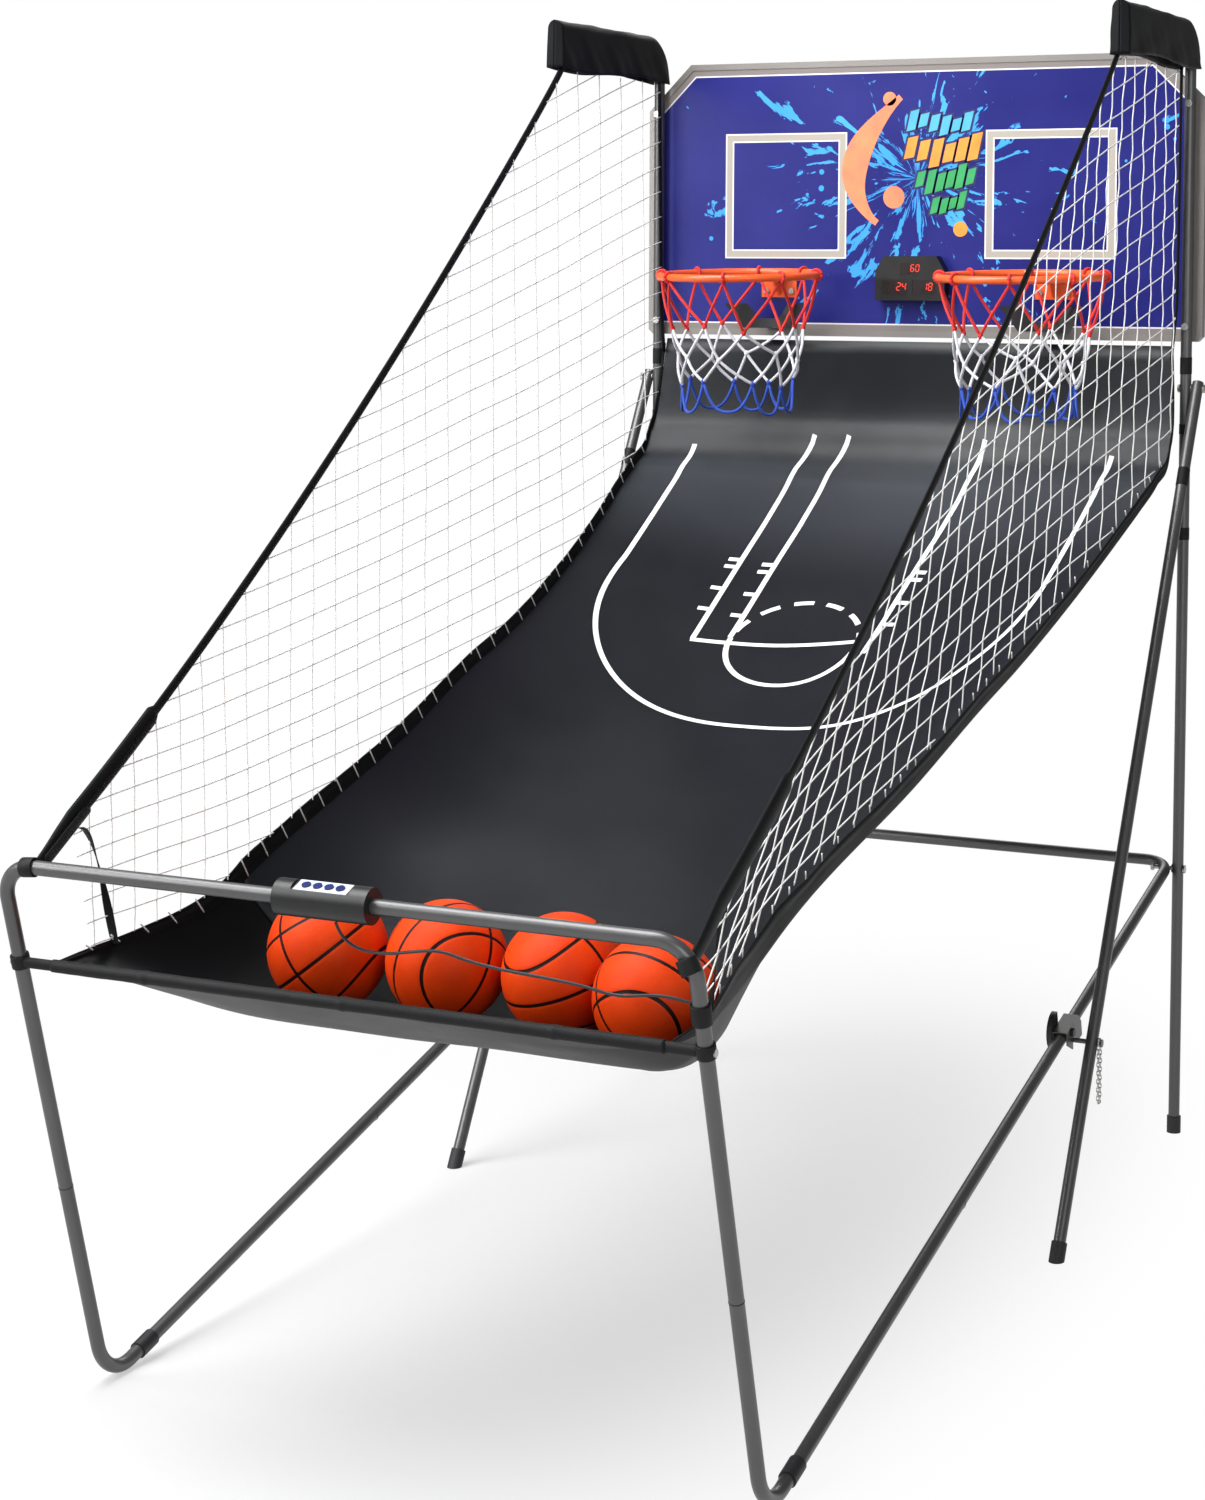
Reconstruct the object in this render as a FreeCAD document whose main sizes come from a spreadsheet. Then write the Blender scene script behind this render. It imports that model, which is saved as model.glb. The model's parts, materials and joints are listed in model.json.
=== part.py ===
import FreeCAD, Part
import math
import os
import Sketcher

# A folding two-player basketball hoop machine: two upright poles carry the backboard and hoops, two
# props lean against them, and a long front loop pivots on the poles and carries the ball trough.
# +X is to the right, +Y to the back, +Z up, in millimetres; the origin is on the floor, under the middle.

Vector = FreeCAD.Vector
SIDES = (("left", -1), ("right", 1))

SIZES = {
    # Frame tube, and how one length plugs into the next.
    "overall_length": 2150,
    "tube_radius": 10,
    "tube_wall": 1,
    "plug_length": 40,
    "plug_shoulder": 6,
    "plug_gap": 0.1,
    "lane_gap": 1,
    "loop_half_width": 501,
    # Poles and the arms at their tops.
    "rear_overhang": 25,
    "pole_joint_low": 807,
    "pole_joint_high": 1440,
    "arm_height": 1995,
    "arm_bend": 60,
    "arm_reach": 445,
    # Front loop: front bar, legs, foot bend, side tubes and rear crossbar.
    "bar_height": 774,
    "bar_bend": 50,
    "rod_drop": 139,
    "rod_above_joint": 12,
    "leg_joint_low": 303,
    "foot_bend": 65,
    "foot_setback": 271.5,
    "foot_tail": 34,
    "pivot_height": 484,
    "side_joint": 1205,
    "loop_bend": 45,
    # Props.
    "prop_pivot_drop": 86,
    "prop_reach": 776,
    "prop_joint_height": 662,
    "prop_margin": 12,
    # Foot caps and clips.
    "cap_wall": 2.5,
    "cap_base": 4,
    "cap_height": 30,
    "fit_gap": 0.1,
    "clip_length": 36,
    "clip_web": 4,
    # Bolts.
    "pivot_bolt_radius": 4,
    "pivot_seat": 13,
    "running_gap": 0.05,
    "bolt_radius": 3,
    "bolt_gap": 0.2,
    "head_radius": 6.5,
    "head_height": 3.5,
    "nut_height": 5,
    "board_bolt_rise": 26,
    "board_bolt_drop": 93,
    # Backboard and its edge trim.
    "board_overhang": 24.5,
    "board_drop": 1,
    "board_top_gap": 39,
    "board_thickness": 16,
    "board_chamfer": 87,
    "board_corner": 8,
    "trim_wall": 1.2,
    "trim_lip": 10,
    "trim_gap": 0.1,
    # Hoops.
    "hoop_spacing": 544,
    "hoop_offset": 196.4,
    "rim_rise": 114,
    "rim_radius": 146.5,
    "rim_rod": 7,
    "rim_tilt": 2.5,
    "tongue_width": 40,
    "bracket_sheet": 3,
    "bracket_width": 72,
    "bracket_drop": 50,
    "rim_bolt_spacing": 52,
    "rim_bolt_drop": 38,
    "web_thickness": 5,
    "web_tip": 0.5,
    "net_drop": 14.5,
    "net_height": 230,
    "net_top_radius": 146,
    "net_bottom_radius": 103,
    "net_skin": 3,
    # Score sensors behind the nets.
    "sensor_radius": 142,
    "sensor_wall": 3.5,
    "sensor_half_width": 80,
    "sensor_height": 46,
    "sensor_drop": 54,
    "sensor_arm": 38,
    "sensor_floor": 18,
    "sensor_base": 96,
    "sensor_mount": 52,
    # Score display.
    "case_width": 137,
    "case_height": 83,
    "case_depth": 25,
    "case_rise": 68,
    "case_slope_width": 17,
    "case_slope_height": 28,
    "case_wall": 2,
    "window_depth": 1,
    "window_width": 48,
    "window_height": 28,
    "window_pitch": 58,
    "window_low": 10,
    "timer_width": 36,
    "timer_height": 24,
    "timer_low": 46,
    "circuit_width": 118,
    "circuit_height": 44,
    "circuit_thickness": 1.6,
    # Fabric: arm sleeves, side nets, ramp and ball trough.
    "sleeve_half_width": 12,
    "sleeve_drop": 71,
    "sleeve_rise": 24,
    "sleeve_overhang": 5,
    "sleeve_gap": 0.4,
    "net_gap": 8,
    "net_thickness": 2,
    "net_rear_gap": 20,
    "net_top_gap": 9,
    "net_front_setback": 79.5,
    "net_front_drop": 26,
    "hem_rise": 13,
    "ramp_gap": 7,
    "ramp_thickness": 2,
    "ramp_front_setback": 455.5,
    "ramp_front_rise": 21,
    "ramp_knee_reach": 194,
    "ramp_knee_drop": 317,
    "ramp_top_reach": 6,
    "ramp_top_drop": 13,
    "ramp_bend": 210,
    "trough_gap": 5,
    "trough_skin": 3,
    "trough_front_setback": 53.5,
    "trough_front_drop": 7,
    "trough_depth": 90,
    "trough_floor_front": 171.5,
    "trough_floor_rear": 351.5,
    "trough_rear_setback": 448.5,
    "trough_rear_rise": 13,
    "rod_radius": 5,
    "rod_gap": 0.3,
    "screw_radius": 2.2,
    "screw_grip": 24,
    # Control pad on the front bar.
    "pad_radius": 23.5,
    "pad_length": 135,
    "pad_tilt": 20,
    "pad_facet": 20.4,
    "facet_length": 84,
    "button_radius": 6,
    "button_pitch": 16.5,
    "button_height": 7,
    "button_rise": 1.8,
    "button_gap": 0.3,
    "button_travel": 1.5,
    # Fold locks where the props cross the side tubes.
    "stud_radius": 4,
    "stud_drop": 17.5,
    "stud_inner": 28,
    "stud_outer": 6,
    "stud_cap": 6.5,
    "stud_cap_height": 2,
    "notch_gap": 0.5,
    "notch_half_angle": 35,
    "notch_aim": -67,
    "lock_sheet": 2,
    "lock_gap": 0.3,
    "lock_front": -52,
    "lock_rear": 26,
    "lock_drop": 30,
    "lock_flange": 8,
    "lock_bolt_front": -24,
    "knob_radius": 32,
    "knob_thickness": 9,
    "knob_flat": 6,
    "knob_clearance": 3,
    "lock_head_radius": 7,
    "chain_length": 104,
    "chain_radius": 1.6,
    # Basketballs lying in the trough.
    "ball_radius": 84,
    "ball_wall": 3,
    "ball_clearance": 0.5,
    "ball_1_across": -178,
    "ball_1_setback": 295.5,
    "ball_2_across": 0,
    "ball_2_setback": 309.5,
    "ball_3_across": 175,
    "ball_3_setback": 311.5,
    "ball_4_across": 338,
    "ball_4_setback": 251.5,
    # Control cable.
    "cable_radius": 2,
}

# Sizes that follow from the ones above.
WORKED = {
    "pole_line": "dims.overall_length / 2 - dims.tube_radius - dims.rear_overhang",
    "pole_half": "dims.loop_half_width + 2 * dims.tube_radius + dims.lane_gap",
    "prop_half": "worked.pole_half + 2 * dims.tube_radius + dims.lane_gap",
    "bar_line": "dims.pad_radius - dims.overall_length / 2",
    "arm_front": "worked.pole_line - dims.arm_reach",
    "prop_pivot_height": "dims.pole_joint_high - dims.prop_pivot_drop",
    "prop_foot": "worked.pole_line - dims.prop_reach",
    "foot_centre": "worked.bar_line + dims.foot_setback",
    "rod_height": "dims.bar_height - dims.rod_drop",
    "leg_joint_high": "worked.rod_height - dims.rod_above_joint",
    "board_width": "2 * (worked.pole_half + dims.board_overhang)",
    "board_bottom": "dims.pole_joint_high - dims.board_drop",
    "board_height": "dims.arm_height - dims.board_top_gap - worked.board_bottom",
    "board_bolt_low": "worked.board_bottom + dims.board_bolt_rise",
    "board_bolt_high": "worked.board_bottom + worked.board_height - dims.board_bolt_drop",
    "board_front": "worked.pole_line + dims.tube_radius + dims.trim_wall + 2 * dims.trim_gap",
    "board_back": "worked.board_front + dims.board_thickness",
    "hoop_line": "worked.board_front - dims.hoop_offset",
    "rim_height": "worked.board_bottom + dims.rim_rise",
    "case_bottom": "worked.board_bottom + dims.case_rise",
    "sleeve_bottom": "dims.arm_height - dims.sleeve_drop",
    "sleeve_top": "dims.arm_height + dims.sleeve_rise",
    "net_plane": "dims.loop_half_width - dims.tube_radius - dims.net_gap",
    "net_rear": "worked.pole_line - dims.net_rear_gap",
    "net_top": "worked.sleeve_bottom - dims.net_top_gap",
    "net_front": "worked.bar_line + dims.net_front_setback",
    "net_front_height": "dims.bar_height - dims.net_front_drop",
    "net_front_low": "worked.rod_height + dims.hem_rise",
    "ramp_half_width": "worked.net_plane - dims.ramp_gap",
    "ramp_front": "worked.bar_line + dims.ramp_front_setback",
    "ramp_front_height": "worked.rod_height + dims.ramp_front_rise",
    "ramp_knee": "worked.pole_line - dims.ramp_knee_reach",
    "ramp_knee_height": "worked.board_bottom - dims.ramp_knee_drop",
    "ramp_top": "worked.pole_line - dims.ramp_top_reach",
    "ramp_top_height": "worked.board_bottom - dims.ramp_top_drop",
    "trough_half_width": "worked.net_plane - dims.trough_gap",
    "trough_front": "worked.bar_line + dims.trough_front_setback",
    "trough_front_height": "worked.rod_height - dims.trough_front_drop",
    "trough_bottom": "worked.rod_height - dims.trough_depth",
    "trough_bottom_front": "worked.bar_line + dims.trough_floor_front",
    "trough_bottom_rear": "worked.bar_line + dims.trough_floor_rear",
    "trough_rear": "worked.bar_line + dims.trough_rear_setback",
    "trough_rear_height": "worked.rod_height + dims.trough_rear_rise",
    "bore_radius": "dims.tube_radius - dims.tube_wall",
    "foot_centre_height": "dims.foot_bend + dims.tube_radius",
    "side_rise": "dims.pivot_height - worked.foot_centre_height",
    "side_reach": "sqrt((worked.pole_line - worked.foot_centre)^2 + worked.side_rise^2)",
    "side_angle": "atan2(worked.side_rise; worked.pole_line - worked.foot_centre)"
                  " + asin(dims.foot_bend / worked.side_reach)",
    "side_run": "sqrt(worked.side_reach^2 - dims.foot_bend^2)",
    "leg_rise": "dims.bar_height - worked.foot_centre_height",
    "leg_reach": "sqrt((worked.foot_centre - worked.bar_line)^2 + worked.leg_rise^2)",
    "leg_angle": "atan2(worked.foot_centre - worked.bar_line; worked.leg_rise)"
                 " - asin(dims.foot_bend / worked.leg_reach)",
    "leg_run": "sqrt(worked.leg_reach^2 - dims.foot_bend^2)",
    "leg_high": "(dims.bar_height - worked.leg_joint_high) / cos(worked.leg_angle)",
    "leg_low": "(dims.bar_height - dims.leg_joint_low) / cos(worked.leg_angle)",
    "foot_turn": "90 deg + worked.side_angle - worked.leg_angle",
    "crossbar_reach": "dims.rear_overhang / cos(worked.side_angle)",
    "rod_line": "worked.bar_line + (dims.bar_height - worked.rod_height) * tan(worked.leg_angle)",
    "prop_lean": "atan2(worked.pole_line - worked.prop_foot; worked.prop_pivot_height)",
    "prop_run": "worked.prop_pivot_height / cos(worked.prop_lean)",
    "prop_low": "dims.prop_joint_height / cos(worked.prop_lean)",
    "prop_seat": "(dims.cap_base + dims.tube_radius * sin(worked.prop_lean)) / cos(worked.prop_lean)",
    "crossing": "((worked.pole_line - worked.prop_foot) * tan(90 deg - worked.prop_lean)"
                " - dims.pivot_height) / (cos(worked.side_angle) * tan(90 deg - worked.prop_lean)"
                " - sin(worked.side_angle))",
    "stud_run": "(dims.pivot_height - worked.crossing * sin(worked.side_angle))"
                " / cos(worked.prop_lean)"
                " - dims.stud_drop / cos(worked.side_angle + worked.prop_lean)",
    "ramp_low_angle": "atan2(worked.ramp_knee_height - worked.ramp_front_height;"
                      " worked.ramp_knee - worked.ramp_front)",
    "ramp_high_angle": "atan2(worked.ramp_top_height - worked.ramp_knee_height;"
                       " worked.ramp_top - worked.ramp_knee)",
    "ramp_turn": "worked.ramp_high_angle - worked.ramp_low_angle",
    "ramp_tangent": "dims.ramp_bend * tan(worked.ramp_turn / 2)",
    "ramp_low_run": "sqrt((worked.ramp_knee_height - worked.ramp_front_height)^2"
                    " + (worked.ramp_knee - worked.ramp_front)^2) - worked.ramp_tangent",
    "ramp_high_run": "sqrt((worked.ramp_top_height - worked.ramp_knee_height)^2"
                     " + (worked.ramp_top - worked.ramp_knee)^2) - worked.ramp_tangent",
    "rim_back_rise": "dims.rim_radius * sin(dims.rim_tilt * 1 deg)",
    "bracket_top": "worked.rim_height + worked.rim_back_rise + dims.bracket_sheet / 2",
    "sensor_top": "worked.rim_height - dims.sensor_drop",
    "ball_height": "worked.trough_bottom + dims.trough_skin + dims.ball_clearance + dims.ball_radius",
}

# Control cable, from the pad's underside to the strap on the right leg.
CABLE_POINTS = (
    (10, -1046, 748), (16, -1046, 731), (42, -1045, 716), (80, -1044, 714), (118, -1043, 721),
    (156, -1042, 727), (196, -1041, 717), (245, -1040, 711), (300, -1039, 708), (349, -1038, 704),
    (397, -1037, 695), (436, -1036, 702), (468, -1034, 702), (490.2, -1031, 697),
)

doc = FreeCAD.newDocument("basketball_hoop_machine")


# ---------------------------------------------------------------- sheets, sketches and features

def fill_sheet(name, cells):
    """A spreadsheet with one named cell for each entry."""
    sheet = doc.addObject("Spreadsheet::Sheet", name)
    for row, (alias, content) in enumerate(cells.items(), start=1):
        sheet.set(f"A{row}", alias)
        sheet.set(f"B{row}", content)
        sheet.setAlias(f"B{row}", alias)
    doc.recompute()
    return sheet


dims = fill_sheet("dims", {alias: str(size) for alias, size in SIZES.items()})
worked = fill_sheet("worked", {alias: "=" + formula.replace("worked.", "")
                               for alias, formula in WORKED.items()})


def number(expression):
    """The plain value of an expression over the two sheets."""
    value = dims.evalExpression(expression)
    return float(getattr(value, "Value", value))


def origin_plane(body, role):
    """One of the body's own origin planes."""
    return next(item for item in body.Origin.OriginFeatures if item.Role == role)


def add_sketch(body, role, offset=None):
    """An empty sketch on an origin plane of its body, moved along the plane's normal by offset."""
    sketch = body.newObject("Sketcher::SketchObject", "Sketch")
    sketch.AttachmentSupport = [(origin_plane(body, role), "")]
    sketch.MapMode = "FlatFace"
    if offset:
        sketch.setExpression("AttachmentOffset.Base.z", offset)
    return sketch


def constrain(sketch, kind, places, expression):
    """A dimension of the sketch, bound to the sheets."""
    value = number(expression)
    if kind == "Angle":
        value = math.radians(value)
    index = sketch.addConstraint(Sketcher.Constraint(kind, *places, value))
    sketch.setExpression(f"Constraints[{index}]", expression)


def add_circle(sketch, radius, u="0", v="0"):
    """A circle with a bound radius and centre."""
    centre = Vector(number(u), number(v), 0)
    circle = sketch.addGeometry(Part.Circle(centre, Vector(0, 0, 1), number(radius)))
    constrain(sketch, "Radius", (circle,), radius)
    if u == "0":
        sketch.addConstraint(Sketcher.Constraint("PointOnObject", circle, 3, -2))
    else:
        constrain(sketch, "DistanceX", (circle, 3), u)
    if v == "0":
        sketch.addConstraint(Sketcher.Constraint("PointOnObject", circle, 3, -1))
    else:
        constrain(sketch, "DistanceY", (circle, 3), v)


def add_outline(sketch, points):
    """A closed outline of straight sides through bound corners."""
    corners = [Vector(number(u), number(v), 0) for u, v in points]
    first = sketch.GeometryCount
    count = len(corners)
    for index in range(count):
        sketch.addGeometry(Part.LineSegment(corners[index], corners[(index + 1) % count]))
    for index in range(count):
        after = first + (index + 1) % count
        sketch.addConstraint(Sketcher.Constraint("Coincident", first + index, 2, after, 1))
    for index, (u, v) in enumerate(points):
        constrain(sketch, "DistanceX", (first + index, 1), u)
        constrain(sketch, "DistanceY", (first + index, 1), v)


def rectangle(half_width, low, high):
    """Corners of a rectangle centred across, from low to high."""
    return [(f"-({half_width})", low), (half_width, low), (half_width, high), (f"-({half_width})", high)]


def new_body(label):
    """An empty body whose label is the sub-part's name."""
    body = doc.addObject("PartDesign::Body", label)
    body.Label = label
    return body


def pad(body, sketch, length, symmetric=False, back=False):
    """Material of a bound length on a sketch."""
    feature = body.newObject("PartDesign::Pad", "Pad")
    feature.Profile = sketch
    feature.setExpression("Length", length)
    feature.SideType = "Symmetric" if symmetric else "One side"
    feature.Reversed = back
    doc.recompute()
    return feature


def pocket(body, sketch, length=None, back=False):
    """A pocket of a bound length, or through the whole body both ways; it has to remove material."""
    before = body.Shape.Volume
    feature = body.newObject("PartDesign::Pocket", "Pocket")
    feature.Profile = sketch
    if length:
        feature.setExpression("Length", length)
        feature.Reversed = back
    else:
        feature.Type = "ThroughAll"
        feature.SideType = "Symmetric"
    doc.recompute()
    if body.Shape.Volume >= before:
        raise RuntimeError(f"A pocket of {body.Label} removes nothing")
    return feature


def drill(body, role, radius, u="0", v="0"):
    """A round hole right through the body, square to one of its origin planes."""
    sketch = add_sketch(body, role)
    add_circle(sketch, radius, u, v)
    pocket(body, sketch)


def frame_place(origin, along, across):
    """The placement whose local Z runs along one direction and local X across it."""
    z_axis = Vector(*along).normalize()
    x_axis = Vector(*across).normalize()
    return FreeCAD.Placement(Vector(*origin), FreeCAD.Rotation(x_axis, z_axis.cross(x_axis), z_axis, "ZXY"))


def moved(x=0, y=0, z=0):
    """A plain move."""
    return FreeCAD.Placement(Vector(x, y, z), FreeCAD.Rotation())


def solid(kind, name, sizes, placement):
    """A Part primitive with bound sizes."""
    item = doc.addObject(kind, name)
    item.Label = name
    for size, expression in sizes.items():
        item.setExpression(size, expression)
    item.Placement = placement
    return item


def joined(name, pieces):
    """Several primitives fused into one solid."""
    item = doc.addObject("Part::MultiFuse", name)
    item.Label = name
    item.Shapes = pieces
    return item


def cut(name, base, tool):
    """A base with a tool taken out of it."""
    item = doc.addObject("Part::Cut", name)
    item.Label = name
    item.Base = base
    item.Tool = tool
    return item


def grouped(name, pieces):
    """Separate solids of one kind kept as one group."""
    item = doc.addObject("Part::Compound", name)
    item.Label = name
    item.Links = pieces
    return item


# ---------------------------------------------------------------- bent tube

def bend_path(body, first, bend, turn, last):
    """A straight run up the local Z axis, an arc towards local X and a second straight run."""
    run, radius, sweep, rest = number(first), number(bend), math.radians(number(turn)), number(last)
    arc_end = Vector(radius * (1 - math.cos(sweep)), run + radius * math.sin(sweep), 0)
    heading = Vector(math.sin(sweep), math.cos(sweep), 0)
    path = add_sketch(body, "XZ_Plane")
    path.addGeometry(Part.LineSegment(Vector(0, 0, 0), Vector(0, run, 0)))
    circle = Part.Circle(Vector(radius, run, 0), Vector(0, 0, 1), radius)
    path.addGeometry(Part.ArcOfCircle(circle, math.pi - sweep, math.pi))
    path.addGeometry(Part.LineSegment(arc_end, arc_end + heading * rest))
    path.addConstraint(Sketcher.Constraint("Coincident", 0, 1, -1, 1))
    path.addConstraint(Sketcher.Constraint("Vertical", 0))
    path.addConstraint(Sketcher.Constraint("Tangent", 0, 2, 1, 2))
    path.addConstraint(Sketcher.Constraint("Tangent", 1, 1, 2, 1))
    constrain(path, "Distance", (0,), first)
    constrain(path, "Radius", (1,), bend)
    constrain(path, "Angle", (1,), turn)
    constrain(path, "Distance", (2,), last)
    return path


def sweep_profile(body, profile, path):
    """The profile carried along the path."""
    feature = body.newObject("PartDesign::AdditivePipe", "Pipe")
    feature.Profile = (profile, [""])
    feature.Spine = (path, ["Edge1", "Edge2", "Edge3"])
    doc.recompute()


def add_plug(body):
    """A narrower end below the start of a tube, which slides into the tube before it."""
    outer = "worked.bore_radius - dims.plug_gap"
    inner = "worked.bore_radius - dims.plug_gap - dims.tube_wall"
    sketch = add_sketch(body, "XZ_Plane")
    add_outline(sketch, [
        (inner, "dims.plug_shoulder"), (inner, "-dims.plug_length"), (outer, "-dims.plug_length"),
        (outer, "0"), ("worked.bore_radius", "0"), ("worked.bore_radius", "dims.plug_shoulder"),
    ])
    feature = body.newObject("PartDesign::Revolution", "Plug")
    feature.Profile = sketch
    feature.ReferenceAxis = (sketch, ["V_Axis"])
    feature.Angle = 360
    doc.recompute()


def tube(label, first, bend=None, turn=None, last=None, plug=False):
    """A length of frame tube along local Z, with one bend towards local X if a bend is given."""
    body = new_body(label)
    ring = add_sketch(body, "XY_Plane")
    add_circle(ring, "dims.tube_radius")
    add_circle(ring, "worked.bore_radius")
    if bend:
        sweep_profile(body, ring, bend_path(body, first, bend, turn, last))
    else:
        pad(body, ring, first)
    if plug:
        add_plug(body)
    return body


# ---------------------------------------------------------------- bolts

def bolt(name, start, along, grip, radius, head="dims.head_radius"):
    """A round-headed bolt through a grip length, with a hexagon nut on its far end."""
    across = (0, 0, 1)
    direction = Vector(*along)
    head_start = Vector(*start) - direction * number("dims.head_height")
    nut_start = Vector(*start) + direction * number(grip)
    length = f"{grip} + dims.head_height + dims.nut_height + 2 * dims.bolt_gap"
    shank = solid("Part::Cylinder", name + "_shank", {"Radius": radius, "Height": length},
                  frame_place(head_start, along, across))
    cap = solid("Part::Cylinder", name + "_head", {"Radius": head, "Height": "dims.head_height"},
                frame_place(head_start, along, across))
    nut = solid("Part::Prism", name + "_nut", {"Circumradius": head, "Height": "dims.nut_height"},
                frame_place(nut_start, along, across))
    return joined(name, [shank, cap, nut])


def washer(name, start, along):
    """A thin washer that fills the gap between two tubes, with play on both sides."""
    place = frame_place(Vector(*start) + Vector(*along) * number("dims.bolt_gap"), along, (0, 0, 1))
    thick = "dims.lane_gap - 2 * dims.bolt_gap"
    disc = solid("Part::Cylinder", name + "_disc",
                 {"Radius": "dims.pivot_bolt_radius * 2", "Height": thick}, place)
    return disc


def pivot_bolts():
    """Four pivot bolts: side tube to pole, and pole to prop, on both sides."""
    hole = "dims.pivot_bolt_radius"
    two_tubes = "4 * dims.tube_radius + dims.lane_gap"
    pole_x = number("worked.pole_half")
    radius = number("dims.tube_radius")
    line = number("worked.pole_line")
    bolts = []
    for side, sign in SIDES:
        low = (sign * (pole_x + radius), line, number("dims.pivot_height"))
        high = (sign * (pole_x - radius), line, number("worked.prop_pivot_height"))
        inner = (sign * (pole_x - radius - number("dims.lane_gap")), line, low[2])
        outer = (sign * (pole_x + radius), line, high[2])
        lower = bolt(f"pivot_low_{side}", low, (-sign, 0, 0), f"{two_tubes} + dims.pivot_seat", hole,
                     "dims.head_radius + 1")
        upper = bolt(f"pivot_high_{side}", high, (sign, 0, 0), two_tubes, hole, "dims.head_radius + 1")
        low_washer = washer(f"washer_low_{side}", inner, (sign, 0, 0))
        high_washer = washer(f"washer_high_{side}", outer, (sign, 0, 0))
        bolts.append(joined(f"pivot_low_set_{side}", [lower, low_washer]))
        bolts.append(joined(f"pivot_high_set_{side}", [upper, high_washer]))
    return grouped("pivot_bolts", bolts)


def board_bolts():
    """Bolts that hold the backboard to the poles and the rim brackets to the backboard."""
    through = ("2 * dims.tube_radius + dims.trim_wall + 2 * dims.trim_gap + dims.board_thickness"
               " + dims.bolt_gap")
    bracket_grip = "dims.bracket_sheet + dims.board_thickness + dims.bolt_gap"
    bolts = []
    for side, sign in SIDES:
        for level in ("low", "high"):
            start = (sign * number("worked.pole_half"),
                     number("worked.pole_line - dims.tube_radius"), number(f"worked.board_bolt_{level}"))
            bolts.append(bolt(f"board_bolt_{level}_{side}", start, (0, 1, 0), through, "dims.bolt_radius"))
        for hand in (-1, 1):
            start = (sign * number("dims.hoop_spacing / 2") + hand * number("dims.rim_bolt_spacing / 2"),
                     number("worked.board_front - dims.bracket_sheet - dims.bolt_gap"),
                     number("worked.bracket_top - dims.rim_bolt_drop"))
            bolts.append(bolt(f"rim_bolt_{side}_{hand + 1}", start, (0, 1, 0), bracket_grip,
                              "dims.bolt_radius", "dims.head_radius - 1"))
    return grouped("board_bolts", bolts)


# ---------------------------------------------------------------- poles, props and front loop

def poles(side, sign):
    """One upright pole in three lengths; the top one bends forwards into the net arm."""
    x = sign * number("worked.pole_half")
    y = number("worked.pole_line")
    outward = (sign, 0, 0)
    up = (0, 0, 1)
    pivot_hole = "dims.pivot_bolt_radius + dims.running_gap"
    lower = tube(f"pole_lower_{side}", "dims.pole_joint_low - dims.cap_base")
    drill(lower, "YZ_Plane", pivot_hole, v="dims.pivot_height - dims.cap_base")
    lower.Placement = frame_place((x, y, number("dims.cap_base")), up, outward)
    middle = tube(f"pole_middle_{side}", "dims.pole_joint_high - dims.pole_joint_low", plug=True)
    drill(middle, "YZ_Plane", pivot_hole, v="worked.prop_pivot_height - dims.pole_joint_low")
    middle.Placement = frame_place((x, y, number("dims.pole_joint_low")), up, outward)
    top = tube(f"pole_top_{side}", "dims.arm_height - dims.arm_bend - dims.pole_joint_high",
               "dims.arm_bend", "90 deg", "worked.pole_line - dims.arm_bend - worked.arm_front", plug=True)
    for level in ("low", "high"):
        drill(top, "YZ_Plane", "dims.bolt_radius + dims.bolt_gap",
              v=f"worked.board_bolt_{level} - dims.pole_joint_high")
    top.Placement = frame_place((x, y, number("dims.pole_joint_high")), up, (0, -1, 0))
    return [lower, middle, top]


def foot_cap(name, floor_point, along, seat):
    """A rubber cap on a tube's lower end, cut off flat on the floor."""
    radius = "dims.tube_radius + dims.cap_wall"
    start = Vector(*floor_point) - Vector(*along) * number("dims.cap_height")
    outer = solid("Part::Cylinder", name + "_outer",
                  {"Radius": radius, "Height": "2 * dims.cap_height"}, frame_place(start, along, (1, 0, 0)))
    bore_start = Vector(*floor_point) + Vector(*along) * number(seat)
    bore = solid("Part::Cylinder", name + "_bore",
                 {"Radius": "dims.tube_radius + dims.fit_gap", "Height": "2 * dims.cap_height"},
                 frame_place(bore_start, along, (1, 0, 0)))
    reach = number("2 * dims.cap_height")
    below = solid("Part::Box", name + "_below",
                  {"Length": "4 * dims.cap_height", "Width": "4 * dims.cap_height",
                   "Height": "4 * dims.cap_height"},
                  moved(floor_point[0] - reach, floor_point[1] - reach, -2 * reach))
    return cut(name, outer, joined(name + "_removed", [bore, below]))


def pole_feet():
    """The two rubber caps under the poles."""
    caps = [foot_cap(f"pole_foot_{side}",
                     (sign * number("worked.pole_half"), number("worked.pole_line"), 0),
                     (0, 0, 1), "dims.cap_base") for side, sign in SIDES]
    return grouped("pole_feet", caps)


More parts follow.
